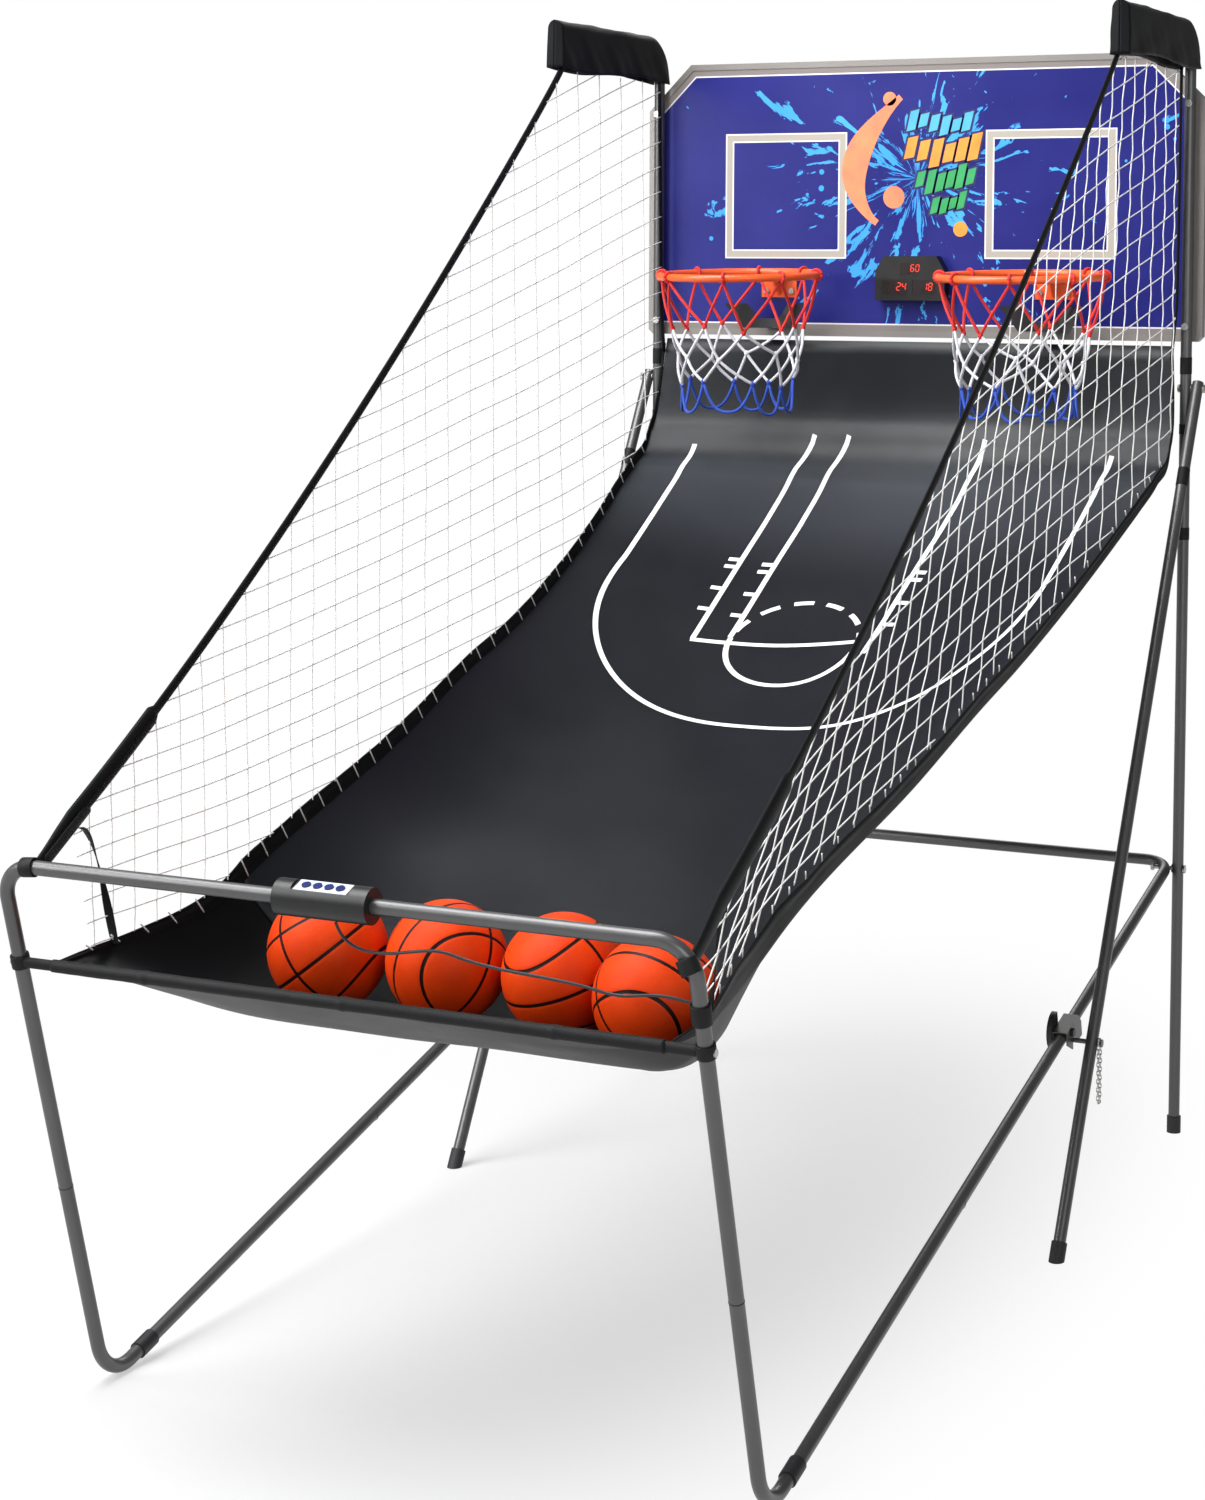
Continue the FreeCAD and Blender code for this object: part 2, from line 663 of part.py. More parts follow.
def props(side, sign):
    """One leaning prop in two lengths with its foot cap; the lower length carries the lock stud."""
    lean = math.radians(number("worked.prop_lean"))
    along = (0, math.sin(lean), math.cos(lean))
    foot = Vector(sign * number("worked.prop_half"), number("worked.prop_foot"), 0)
    outward = (sign, 0, 0)
    lower = tube(f"prop_lower_{side}", "worked.prop_low - worked.prop_seat")
    stud_place = "worked.stud_run - worked.prop_seat"
    stud = add_sketch(lower, "YZ_Plane", "-(dims.tube_radius + dims.stud_inner)")
    add_circle(stud, "dims.stud_radius", v=stud_place)
    pad(lower, stud, "2 * dims.tube_radius + dims.stud_inner + dims.stud_outer")
    stud_head = add_sketch(lower, "YZ_Plane", "dims.tube_radius + dims.stud_outer")
    add_circle(stud_head, "dims.stud_cap", v=stud_place)
    pad(lower, stud_head, "dims.stud_cap_height")
    lower.Placement = frame_place(foot + Vector(*along) * number("worked.prop_seat"), along, outward)
    upper = tube(f"prop_upper_{side}", "worked.prop_run - worked.prop_low + dims.prop_margin", plug=True)
    drill(upper, "YZ_Plane", "dims.pivot_bolt_radius + dims.running_gap",
          v="worked.prop_run - worked.prop_low")
    upper.Placement = frame_place(foot + Vector(*along) * number("worked.prop_low"), along, outward)
    cap = foot_cap(f"prop_foot_{side}", tuple(foot), along, "worked.prop_seat")
    return [lower, upper, cap]


def leg_direction():
    """The way the front legs run, down and back."""
    angle = math.radians(number("worked.leg_angle"))
    return Vector(0, math.sin(angle), -math.cos(angle))


def side_direction():
    """The way the side tubes run, up and back."""
    angle = math.radians(number("worked.side_angle"))
    return Vector(0, math.cos(angle), math.sin(angle))


def pivot_point(sign):
    """Where the front loop's pivot axis crosses a side tube's line."""
    return Vector(sign * number("dims.loop_half_width"), number("worked.pole_line"),
                  number("dims.pivot_height"))


def front_tubes(side, sign):
    """One half of the front bar with its corner, the leg, and the foot with its tail."""
    down = leg_direction()
    bar_end = Vector(sign * number("dims.loop_half_width"), number("worked.bar_line"),
                     number("dims.bar_height"))
    screw_hole = "dims.screw_radius + dims.bolt_gap"
    screw_reach = "(dims.bar_height - worked.rod_height) / cos(worked.leg_angle)"
    corner = tube(f"front_corner_{side}", "dims.loop_half_width - dims.bar_bend", "dims.bar_bend",
                  "90 deg", "worked.leg_high - dims.bar_bend", plug=sign < 0)
    drill(corner, "XY_Plane", screw_hole, u=screw_reach)
    corner.Placement = frame_place((0, bar_end.y, bar_end.z), (sign, 0, 0), down)
    leg = tube(f"front_leg_{side}", "worked.leg_low - worked.leg_high", plug=True)
    drill(leg, "YZ_Plane", screw_hole, v=f"{screw_reach} - worked.leg_high")
    leg.Placement = frame_place(bar_end + down * number("worked.leg_high"), down, (sign, 0, 0))
    foot = tube(f"foot_tube_{side}", "worked.leg_run - worked.leg_low", "dims.foot_bend",
                "worked.foot_turn", "dims.foot_tail", plug=True)
    foot.Placement = frame_place(bar_end + down * number("worked.leg_low"), down,
                                 Vector(0, -down.z, down.y))
    return [corner, leg, foot]


def rear_tubes(side, sign):
    """One side tube in two lengths; the rear one turns the corner into half the crossbar."""
    up = side_direction()
    pivot = pivot_point(sign)
    crossbar = pivot + up * number("worked.crossbar_reach")
    loop = tube(f"rear_loop_{side}", "dims.loop_half_width - dims.loop_bend", "dims.loop_bend", "90 deg",
                "dims.side_joint + worked.crossbar_reach - dims.loop_bend", plug=sign < 0)
    drill(loop, "XY_Plane", "dims.pivot_bolt_radius + dims.running_gap", u="worked.crossbar_reach")
    drill(loop, "XY_Plane", "dims.bolt_radius + dims.running_gap",
          u="worked.crossbar_reach + worked.crossing - dims.lock_bolt_front")
    loop.Placement = frame_place((0, crossbar.y, crossbar.z), (sign, 0, 0), up * -1)
    web = "dims.clip_web / 2"
    front = tube(f"side_tube_{side}", f"worked.side_run - dims.side_joint - dims.foot_tail - {web} * 2",
                 plug=True)
    front.Placement = frame_place(pivot - up * number("dims.side_joint"), up * -1, (sign, 0, 0))
    return [loop, front]


def foot_clips():
    """Plastic connectors between the foot tubes and the side tubes: a core, a web and a collar."""
    half_web = "dims.clip_web / 2"
    core = "worked.bore_radius - dims.fit_gap"
    collar_in = "dims.tube_radius + dims.fit_gap"
    collar_out = "dims.tube_radius + dims.cap_wall"
    half = "dims.clip_length / 2"
    up = side_direction()
    web_centre = number("worked.side_run - dims.foot_tail - dims.clip_web / 2")
    clips = []
    for side, sign in SIDES:
        body = new_body(f"foot_clip_{side}")
        sketch = add_sketch(body, "XZ_Plane")
        add_outline(sketch, [
            ("0", f"-({half})"), (core, f"-({half})"), (core, f"-({half_web})"),
            (collar_in, f"-({half_web})"), (collar_in, f"-({half})"), (collar_out, f"-({half})"),
            (collar_out, half), (collar_in, half), (collar_in, half_web),
            (core, half_web), (core, half), ("0", half),
        ])
        feature = body.newObject("PartDesign::Revolution", "Clip")
        feature.Profile = sketch
        feature.ReferenceAxis = (sketch, ["V_Axis"])
        feature.Angle = 360
        doc.recompute()
        body.Placement = frame_place(pivot_point(sign) - up * web_centre, up, (1, 0, 0))
        clips.append(body)
    return grouped("foot_clips", clips)


# ---------------------------------------------------------------- backboard and hoops

def board_outline(grow):
    """The board's outline, grown outwards by an expression: large top chamfers, small bottom ones."""
    half = f"worked.board_width / 2 + {grow}"
    top = f"worked.board_height + {grow}"
    bottom = f"-({grow})"
    chamfer = f"dims.board_chamfer + (2 - sqrt(2)) * ({grow})"
    corner = f"dims.board_corner + (2 - sqrt(2)) * ({grow})"
    right = [(f"{half} - ({corner})", bottom), (half, f"{bottom} + {corner}"),
             (half, f"{top} - ({chamfer})"), (f"{half} - ({chamfer})", top)]
    left = [(f"-({u})", v) for u, v in reversed(right)]
    return right + left


def backboard():
    """The board, drilled for its bolts, and the edge trim that folds over both faces."""
    panel = new_body("backboard_panel")
    sketch = add_sketch(panel, "XZ_Plane")
    add_outline(sketch, board_outline("0"))
    pad(panel, sketch, "dims.board_thickness")
    hole = "dims.bolt_radius + dims.bolt_gap"
    for sign in ("", "-"):
        for level in ("low", "high"):
            drill(panel, "XZ_Plane", hole, f"{sign}worked.pole_half",
                  f"worked.board_bolt_{level} - worked.board_bottom")
        for hand in ("+", "-"):
            drill(panel, "XZ_Plane", hole,
                  f"{sign}(dims.hoop_spacing / 2 {hand} dims.rim_bolt_spacing / 2)",
                  "worked.bracket_top - dims.rim_bolt_drop - worked.board_bottom")
    panel.Placement = moved(y=number("worked.board_back"), z=number("worked.board_bottom"))

    trim = new_body("backboard_frame")
    inside = "dims.trim_gap"
    outside = "dims.trim_gap + dims.trim_wall"
    depth = "dims.board_thickness + 2 * dims.trim_gap"
    for offset, length, inner in (("0", "dims.trim_wall", "-dims.trim_lip"),
                                  ("dims.trim_wall", depth, inside),
                                  (f"dims.trim_wall + {depth}", "dims.trim_wall", "-dims.trim_lip")):
        ring = add_sketch(trim, "XZ_Plane", offset)
        add_outline(ring, board_outline(outside))
        add_outline(ring, board_outline(inner))
        pad(trim, ring, length)
    trim.Placement = moved(y=number("worked.board_back + dims.trim_gap + dims.trim_wall"),
                           z=number("worked.board_bottom"))
    return [panel, trim]


def rim(side, sign):
    """The hoop ring, tipped a little down at the front."""
    tilt = FreeCAD.Rotation(Vector(1, 0, 0), number("dims.rim_tilt"))
    centre = Vector(sign * number("dims.hoop_spacing / 2"), number("worked.hoop_line"),
                    number("worked.rim_height"))
    return solid("Part::Torus", f"rim_{side}", {"Radius1": "dims.rim_radius", "Radius2": "dims.rim_rod"},
                 FreeCAD.Placement(centre, tilt))


def rim_bracket(side, sign):
    """The bracket: a plate on the board, a tongue out to the rim and a web under the tongue."""
    name = f"rim_bracket_{side}"
    x = sign * number("dims.hoop_spacing / 2")
    front = number("worked.board_front")
    top = number("worked.bracket_top")
    sheet = number("dims.bracket_sheet")
    reach = "worked.board_front - worked.hoop_line - dims.rim_radius"
    tongue = solid("Part::Box", name + "_tongue",
                   {"Length": "dims.tongue_width", "Width": reach, "Height": "dims.bracket_sheet"},
                   moved(x - number("dims.tongue_width / 2"), front - number(reach), top - sheet))
    plate = solid("Part::Box", name + "_plate",
                  {"Length": "dims.bracket_width", "Width": "dims.bracket_sheet",
                   "Height": "dims.bracket_drop"},
                  moved(x - number("dims.bracket_width / 2"), front - sheet,
                        top - number("dims.bracket_drop")))
    web_reach = f"{reach} - 2 * dims.rim_rod"
    web = solid("Part::Wedge", name + "_web",
                {"Xmax": "dims.web_thickness", "X2max": "dims.web_thickness", "Ymax": web_reach,
                 "Zmax": "dims.bracket_drop - dims.bracket_sheet",
                 "Z2max": "dims.bracket_drop - dims.bracket_sheet"},
                FreeCAD.Placement(Vector(x + number("dims.web_thickness / 2"), front,
                                         top - number("dims.bracket_drop")),
                                  FreeCAD.Rotation(Vector(0, 0, 1), 180)))
    web.setExpression("Z2min", "dims.bracket_drop - dims.bracket_sheet - dims.web_tip")
    web.Xmin = 0
    web.X2min = 0
    web.Ymin = 0
    web.Zmin = 0
    bracket = joined(name + "_body", [tongue, plate, web])
    holes = [solid("Part::Cylinder", f"{name}_hole_{hand + 1}",
                   {"Radius": "dims.bolt_radius + dims.bolt_gap", "Height": "2 * dims.bracket_sheet"},
                   frame_place((x + hand * number("dims.rim_bolt_spacing / 2"), front - 2 * sheet,
                                top - number("dims.rim_bolt_drop")), (0, 1, 0), (0, 0, 1)))
             for hand in (-1, 1)]
    return cut(name, bracket, joined(name + "_holes", holes))


def hoop_net(side, sign):
    """The space the hoop's net hangs in: a thin shell that narrows downwards, open at both ends."""
    name = f"hoop_net_{side}"
    place = moved(sign * number("dims.hoop_spacing / 2"), number("worked.hoop_line"),
                  number("worked.rim_height - dims.net_drop - dims.net_height"))
    outer = solid("Part::Cone", name + "_outer",
                  {"Radius1": "dims.net_bottom_radius", "Radius2": "dims.net_top_radius",
                   "Height": "dims.net_height"}, place)
    inner = solid("Part::Cone", name + "_inner",
                  {"Radius1": "dims.net_bottom_radius - dims.net_skin",
                   "Radius2": "dims.net_top_radius - dims.net_skin", "Height": "dims.net_height"}, place)
    return cut(name, outer, inner)


def score_sensor(side, sign):
    """A curved two-horned arm behind the net, on a mount that reaches back to the board."""
    name = f"score_sensor_{side}"
    x = sign * number("dims.hoop_spacing / 2")
    y = number("worked.hoop_line")
    bottom = number("worked.sensor_top - dims.sensor_height")
    base = moved(x, y, bottom)
    outer = solid("Part::Cylinder", name + "_outer",
                  {"Radius": "dims.sensor_radius + dims.sensor_wall", "Height": "dims.sensor_height"}, base)
    inner = solid("Part::Cylinder", name + "_inner",
                  {"Radius": "dims.sensor_radius", "Height": "dims.sensor_height"}, base)
    horns = new_body(name + "_horns")
    sketch = add_sketch(horns, "XZ_Plane")
    gap = "dims.sensor_half_width - dims.sensor_arm"
    add_outline(sketch, [
        ("-dims.sensor_base / 2", "0"), ("dims.sensor_base / 2", "0"),
        ("dims.sensor_half_width", "dims.sensor_height"), (gap, "dims.sensor_height"),
        (f"({gap}) / 2", "dims.sensor_floor"), (f"-({gap}) / 2", "dims.sensor_floor"),
        (f"-({gap})", "dims.sensor_height"), ("-dims.sensor_half_width", "dims.sensor_height"),
    ])
    pad(horns, sketch, "dims.sensor_radius + 2 * dims.sensor_wall", back=True)
    horns.Placement = base
    arm = doc.addObject("Part::MultiCommon", name + "_arm")
    arm.Shapes = [cut(name + "_shell", outer, inner), horns]
    start = number("worked.hoop_line + dims.sensor_radius + dims.sensor_wall / 2")
    mount = solid("Part::Box", name + "_mount",
                  {"Length": "dims.sensor_mount", "Width": "1", "Height": "dims.sensor_floor"},
                  moved(x - number("dims.sensor_mount / 2"), start, bottom))
    mount.setExpression("Width", "worked.board_front - worked.hoop_line - dims.sensor_radius"
                                 " - dims.sensor_wall / 2")
    return joined(name, [arm, mount])


def display():
    """The score display: a case with three windows, hollow from the back, and its circuit board."""
    case = new_body("display_case")
    slope_start = "dims.case_width / 2 - dims.case_slope_width"
    slope_height = "dims.case_height - dims.case_slope_height"
    half = "dims.case_width / 2"
    front = add_sketch(case, "XZ_Plane")
    add_outline(front, [(f"-{half}", "0"), (half, "0"), (half, slope_height),
                        (slope_start, "dims.case_height"), (f"-({slope_start})", "dims.case_height"),
                        (f"-{half}", slope_height)])
    pad(case, front, "dims.case_depth")
    cavity = add_sketch(case, "XZ_Plane")
    inside = "dims.case_width / 2 - dims.case_slope_width - dims.case_wall"
    add_outline(cavity, [(f"-({half} - dims.case_wall)", "dims.case_wall"),
                         (f"{half} - dims.case_wall", "dims.case_wall"),
                         (f"{half} - dims.case_wall", f"{slope_height} - dims.case_wall"),
                         (inside, "dims.case_height - dims.case_wall"),
                         (f"-({inside})", "dims.case_height - dims.case_wall"),
                         (f"-({half} - dims.case_wall)", f"{slope_height} - dims.case_wall")])
    depth = "dims.case_depth - dims.case_wall - dims.window_depth"
    pocket(case, cavity, depth, back=True)
    windows = add_sketch(case, "XZ_Plane", "dims.case_depth")
    add_outline(windows, rectangle("dims.timer_width / 2", "dims.timer_low",
                                   "dims.timer_low + dims.timer_height"))
    for sign in ("", "-"):
        centre = f"{sign}dims.window_pitch / 2"
        add_outline(windows, [(f"{centre} + {u}", v) for u, v in
                              rectangle("dims.window_width / 2", "dims.window_low",
                                        "dims.window_low + dims.window_height")])
    pocket(case, windows, "dims.window_depth")
    case.Placement = moved(y=number("worked.board_front"), z=number("worked.case_bottom"))
    circuit = solid("Part::Box", "display_circuit",
                    {"Length": "dims.circuit_width", "Width": "dims.circuit_thickness",
                     "Height": "dims.circuit_height"},
                    moved(-number("dims.circuit_width / 2"), number(f"worked.board_front - ({depth})"),
                          number("worked.case_bottom + 2 * dims.case_wall")))
    return [case, circuit]


# ---------------------------------------------------------------- fabric

def arm_sleeves():
    """Cloth hoods over the arms, with room inside for the bent tube."""
    sleeves = []
    for side, sign in SIDES:
        hood = new_body(f"sleeve_hood_{side}")
        sketch = add_sketch(hood, "YZ_Plane")
        front = "worked.arm_front - dims.sleeve_overhang"
        back = "worked.pole_line + dims.tube_radius + dims.cap_wall"
        slant = "dims.arm_bend / 2"
        add_outline(sketch, [
            (front, "worked.sleeve_bottom"), (back, "worked.sleeve_bottom"),
            (back, f"worked.sleeve_top - {slant}"), (f"{back} - {slant}", "worked.sleeve_top"),
            (front, "worked.sleeve_top"),
        ])
        pad(hood, sketch, "2 * dims.sleeve_half_width", symmetric=True)
        hood.Placement = moved(x=sign * number("worked.pole_half"))
        core = new_body(f"sleeve_core_{side}")
        profile = add_sketch(core, "XY_Plane")
        add_circle(profile, "dims.tube_radius + dims.sleeve_gap")
        path = bend_path(core, "dims.arm_height - dims.arm_bend - dims.pole_joint_high", "dims.arm_bend",
                         "90 deg", "worked.pole_line - dims.arm_bend - worked.arm_front + dims.sleeve_gap")
        sweep_profile(core, profile, path)
        core.Placement = frame_place((sign * number("worked.pole_half"), number("worked.pole_line"),
                                      number("dims.pole_joint_high")), (0, 0, 1), (0, -1, 0))
        sleeves.append(cut(f"arm_sleeve_{side}", hood, core))
    return grouped("arm_sleeves", sleeves)


def side_net(side, sign):
    """The plane of one side net, from the arm sleeve down to the ramp's hem."""
    body = new_body(f"side_net_{side}")
    sketch = add_sketch(body, "YZ_Plane")
    add_outline(sketch, [
        ("worked.arm_front", "worked.net_top"), ("worked.net_rear", "worked.net_top"),
        ("worked.net_rear", "worked.ramp_top_height"), ("worked.ramp_knee", "worked.ramp_knee_height"),
        ("worked.ramp_front", "worked.ramp_front_height"), ("worked.net_front", "worked.net_front_low"),
        ("worked.net_front", "worked.net_front_height"),
    ])
    pad(body, sketch, "dims.net_thickness", symmetric=True)
    body.Placement = moved(x=sign * number("worked.net_plane"))
    return body


def ramp_sheet():
    """The cloth ramp: a straight slope that turns up steeply to the board."""
    body = new_body("ramp_sheet")
    profile = add_sketch(body, "XY_Plane")
    half = "worked.ramp_half_width"
    add_outline(profile, [("-dims.ramp_thickness", f"-{half}"), ("0", f"-{half}"), ("0", half),
                          ("-dims.ramp_thickness", half)])
    path = bend_path(body, "worked.ramp_low_run", "dims.ramp_bend", "worked.ramp_turn",
                     "worked.ramp_high_run")
    sweep_profile(body, profile, path)
    angle = math.radians(number("worked.ramp_low_angle"))
    start = (0, number("worked.ramp_front"), number("worked.ramp_front_height"))
    body.Placement = frame_place(start, (0, math.cos(angle), math.sin(angle)),
                                 (0, -math.sin(angle), math.cos(angle)))
    return body


def ball_trough():
    """The cloth trough: a thin basket, open at the top, slung between the rod and the ramp."""
    body = new_body("ball_trough")
    sketch = add_sketch(body, "YZ_Plane")
    add_outline(sketch, [
        ("worked.trough_front", "worked.trough_front_height"),
        ("worked.trough_bottom_front", "worked.trough_bottom"),
        ("worked.trough_bottom_rear", "worked.trough_bottom"),
        ("worked.trough_rear", "worked.trough_rear_height"),
    ])
    block = pad(body, sketch, "2 * worked.trough_half_width", symmetric=True)
    top = next(index for index, face in enumerate(body.Shape.Faces, start=1)
               if abs(face.CenterOfMass.z - number("(worked.trough_front_height"
                                                   " + worked.trough_rear_height) / 2")) < 1)
    shell = body.newObject("PartDesign::Thickness", "Shell")
    shell.Base = (block, [f"Face{top}"])
    shell.setExpression("Value", "dims.trough_skin")
    shell.Reversed = True
    doc.recompute()
    body.Placement = moved()
    return body


def trough_rod():
    """The rod in the trough's front hem, held between the front legs by a screw at each end."""
    length = "2 * (dims.loop_half_width - dims.tube_radius - dims.rod_gap)"
    place_y = number("worked.rod_line")
    height = number("worked.rod_height")
    end = number(length) / 2
    rod = solid("Part::Cylinder", "trough_rod_bar", {"Radius": "dims.rod_radius", "Height": length},
                frame_place((-end, place_y, height), (1, 0, 0), (0, 0, 1)))
    holes = [solid("Part::Cylinder", f"trough_rod_hole_{side}",
                   {"Radius": "dims.screw_radius + dims.bolt_gap",
                    "Height": "dims.screw_grip + 2 * dims.bolt_gap"},
                   frame_place((sign * end, place_y, height), (-sign, 0, 0), (0, 0, 1)))
             for side, sign in SIDES]
    return cut("trough_rod", rod, joined("trough_rod_holes", holes))


def front_screws():
    """The two screws through the leg joints into the rod's ends."""
    screws = []
    for side, sign in SIDES:
        start = Vector(sign * number("dims.loop_half_width + dims.tube_radius + dims.head_height"),
                       number("worked.rod_line"), number("worked.rod_height"))
        shank = solid("Part::Cylinder", f"front_screw_{side}_shank",
                      {"Radius": "dims.screw_radius",
                       "Height": "dims.head_height + 2 * dims.tube_radius + dims.screw_grip"},
                      frame_place(start, (-sign, 0, 0), (0, 0, 1)))
        head = solid("Part::Cylinder", f"front_screw_{side}_head",
                     {"Radius": "dims.head_radius - 1", "Height": "dims.head_height"},
                     frame_place(start, (-sign, 0, 0), (0, 0, 1)))
        screws.append(joined(f"front_screw_{side}", [shank, head]))
    return grouped("front_screws", screws)


# ---------------------------------------------------------------- control pad, locks, balls and cable

def pad_place():
    """The pad's own frame: along the bar, with local Z square to the button facet."""
    return FreeCAD.Placement(Vector(0, number("worked.bar_line"), number("dims.bar_height")),
                             FreeCAD.Rotation(Vector(1, 0, 0), number("dims.pad_tilt")))


def control_pad():
    """The round grip that clips over the front bar, with a flat for the buttons."""
    body = new_body("control_pad")
    ring = add_sketch(body, "YZ_Plane")
    add_circle(ring, "dims.pad_radius")
    add_circle(ring, "dims.tube_radius + dims.fit_gap")
    pad(body, ring, "dims.pad_length", symmetric=True)
    flat = add_sketch(body, "XZ_Plane")
    add_outline(flat, rectangle("dims.facet_length / 2", "dims.pad_facet", "2 * dims.pad_radius"))
    pocket(body, flat)
    seats = add_sketch(body, "XY_Plane", "dims.pad_facet")
    for place in (-1.5, -0.5, 0.5, 1.5):
        add_circle(seats, "dims.button_radius + dims.button_gap", f"{place} * dims.button_pitch")
    pocket(body, seats, "dims.button_height - dims.button_rise + dims.button_travel + dims.button_gap")
    body.Placement = pad_place()
    return body


def buttons():
    """The four round push buttons on the pad's flat."""
    bodies = []
    for order, place in enumerate((-1.5, -0.5, 0.5, 1.5), start=1):
        body = new_body(f"button_{order}")
        sketch = add_sketch(body, "XY_Plane", "dims.pad_facet + dims.button_rise - dims.button_height")
        add_circle(sketch, "dims.button_radius", f"{place} * dims.button_pitch")
        pad(body, sketch, "dims.button_height")
        body.Placement = pad_place()
        bodies.append(body)
    return bodies


def lock_place(sign, distance):
    """A frame on a side tube at a distance down from its pivot: local X up the tube, local Z to +X."""
    up = side_direction()
    return frame_place(pivot_point(sign) - up * distance, (1, 0, 0), up)


def lock_bracket(side, sign):
    """A sheet-metal saddle over the side tube whose outer cheek hooks over the prop's stud."""
    body = new_body(f"lock_bracket_{side}")
    outside = "dims.tube_radius + dims.lock_gap"
    cheek_top = f"{outside} + dims.lock_sheet"
    sheet = "dims.lock_sheet"
    away = sign > 0
    near = outside if away else f"-({outside})"
    far = f"-({outside})" if away else outside
    stud_u = "-dims.stud_drop * tan(worked.side_angle + worked.prop_lean)"
    cheek = add_sketch(body, "XY_Plane", near)
    add_outline(cheek, [
        ("dims.lock_front", "-dims.tube_radius"), ("dims.lock_front / 2", "-dims.lock_drop"),
        ("dims.lock_rear", "-dims.lock_drop"), ("dims.lock_rear", "-dims.tube_radius / 2"),
        ("dims.lock_rear / 2", cheek_top), ("dims.lock_front", cheek_top),
    ])
    pad(body, cheek, sheet, back=not away)
    roof = add_sketch(body, "XY_Plane", near)
    add_outline(roof, [("dims.lock_front", outside), ("dims.lock_rear / 2", outside),
                       ("dims.lock_rear / 2", cheek_top), ("dims.lock_front", cheek_top)])
    pad(body, roof, f"2 * ({outside})", back=away)
    flange = add_sketch(body, "XY_Plane", far)
    add_outline(flange, [
        ("dims.lock_front", "-dims.lock_flange"), ("dims.lock_rear / 2", "-dims.lock_flange"),
        ("dims.lock_rear / 2", cheek_top), ("dims.lock_front", cheek_top),
    ])
    pad(body, flange, sheet, back=away)
    drill(body, "XY_Plane", "dims.bolt_radius + dims.running_gap", "dims.lock_bolt_front")
    reach = 3 * number("dims.lock_drop")
    seat = number("dims.stud_radius + dims.notch_gap")
    centre = Vector(number(stud_u), -number("dims.stud_drop"), 0)
    notch_round = add_sketch(body, "XY_Plane")
    add_circle(notch_round, "dims.stud_radius + dims.notch_gap", stud_u, "-dims.stud_drop")
    pocket(body, notch_round)
    mouth = add_sketch(body, "XY_Plane")
    edges = []
    for hand in (-1, 1):
        aim = math.radians(number("dims.notch_aim") + hand * number("dims.notch_half_angle"))
        ray = Vector(math.cos(aim), math.sin(aim), 0)
        rim_point = centre + Vector(-ray.y, ray.x, 0) * (hand * seat)
        edges.append((rim_point, rim_point + ray * reach))
    corners = [edges[0][0], edges[0][1], edges[1][1], edges[1][0]]
    add_outline(mouth, [(f"{corner.x:.4f}", f"{corner.y:.4f}") for corner in corners])
    pocket(body, mouth)
    body.Placement = lock_place(sign, number("worked.crossing"))
    return body


def lock_knob(side, sign):
    """The half-round knob on the inner side, with the bolt that holds the bracket to the side tube."""
    body = new_body(f"lock_knob_{side}")
    inner = "dims.tube_radius + dims.lock_gap + dims.lock_sheet + dims.lock_gap"
    near = f"-({inner})" if sign > 0 else inner
    far = inner if sign > 0 else f"-({inner})"
    handle = add_sketch(body, "XY_Plane", near)
    sweep = Part.Circle(Vector(0, 0, 0), Vector(0, 0, 1), number("dims.knob_radius"))
    flat = number("dims.knob_flat")
    half = math.sqrt(number("dims.knob_radius") ** 2 - flat ** 2)
    start = math.atan2(-half, flat)
    handle.addGeometry(Part.ArcOfCircle(sweep, -start, start + 2 * math.pi))
    handle.addGeometry(Part.LineSegment(Vector(flat, -half, 0), Vector(flat, half, 0)))
    handle.addConstraint(Sketcher.Constraint("Coincident", 0, 2, 1, 1))
    handle.addConstraint(Sketcher.Constraint("Coincident", 1, 2, 0, 1))
    handle.addConstraint(Sketcher.Constraint("Coincident", 0, 3, -1, 1))
    handle.addConstraint(Sketcher.Constraint("Vertical", 1))
    constrain(handle, "Radius", (0,), "dims.knob_radius")
    constrain(handle, "DistanceX", (1, 1), "dims.knob_flat")
    pad(body, handle, "dims.knob_thickness", back=sign > 0)
    shank = add_sketch(body, "XY_Plane", near)
    add_circle(shank, "dims.bolt_radius")
    pad(body, shank, f"2 * ({inner}) + dims.head_height", back=sign < 0)
    head = add_sketch(body, "XY_Plane", far)
    add_circle(head, "dims.lock_head_radius")
    pad(body, head, "dims.head_height", back=sign < 0)
    body.Placement = lock_place(sign, number("worked.crossing - dims.lock_bolt_front"))
    return body


def swept_rod(label, wire, radius):
    """A round bar along a wire of tangent lines and arcs."""
    start = wire.Edges[0]
    tangent = start.tangentAt(start.FirstParameter)
    circle = Part.makeCircle(radius, wire.Edges[0].Vertexes[0].Point, tangent)
    shape = wire.makePipeShell([Part.Wire([circle])], True, True)
    item = doc.addObject("Part::Feature", label)
    item.Label = label
    item.Shape = shape
    return item


def lock_chain(side, sign):
    """The safety chain's loop, hanging from the outer end of the prop's stud."""
    lean = math.radians(number("worked.prop_lean"))
    stud = Vector(sign * number("worked.prop_half + dims.tube_radius + dims.stud_outer / 2"),
                  number("worked.prop_foot"), 0)
    stud += Vector(0, math.sin(lean), math.cos(lean)) * number("worked.stud_run")
    half = number("dims.stud_radius + dims.chain_radius + dims.fit_gap")
    drop = number("dims.chain_length") - 2 * half
    low = stud - Vector(0, 0, drop)
    side_step = Vector(0, half, 0)
    down = Vector(0, 0, half)
    edges = [
        Part.LineSegment(stud - side_step, low - side_step).toShape(),
        Part.Arc(low - side_step, low - down, low + side_step).toShape(),
        Part.LineSegment(low + side_step, stud + side_step).toShape(),
        Part.Arc(stud + side_step, stud + down, stud - side_step).toShape(),
    ]
    return swept_rod(f"lock_chain_{side}", Part.Wire(edges), number("dims.chain_radius"))


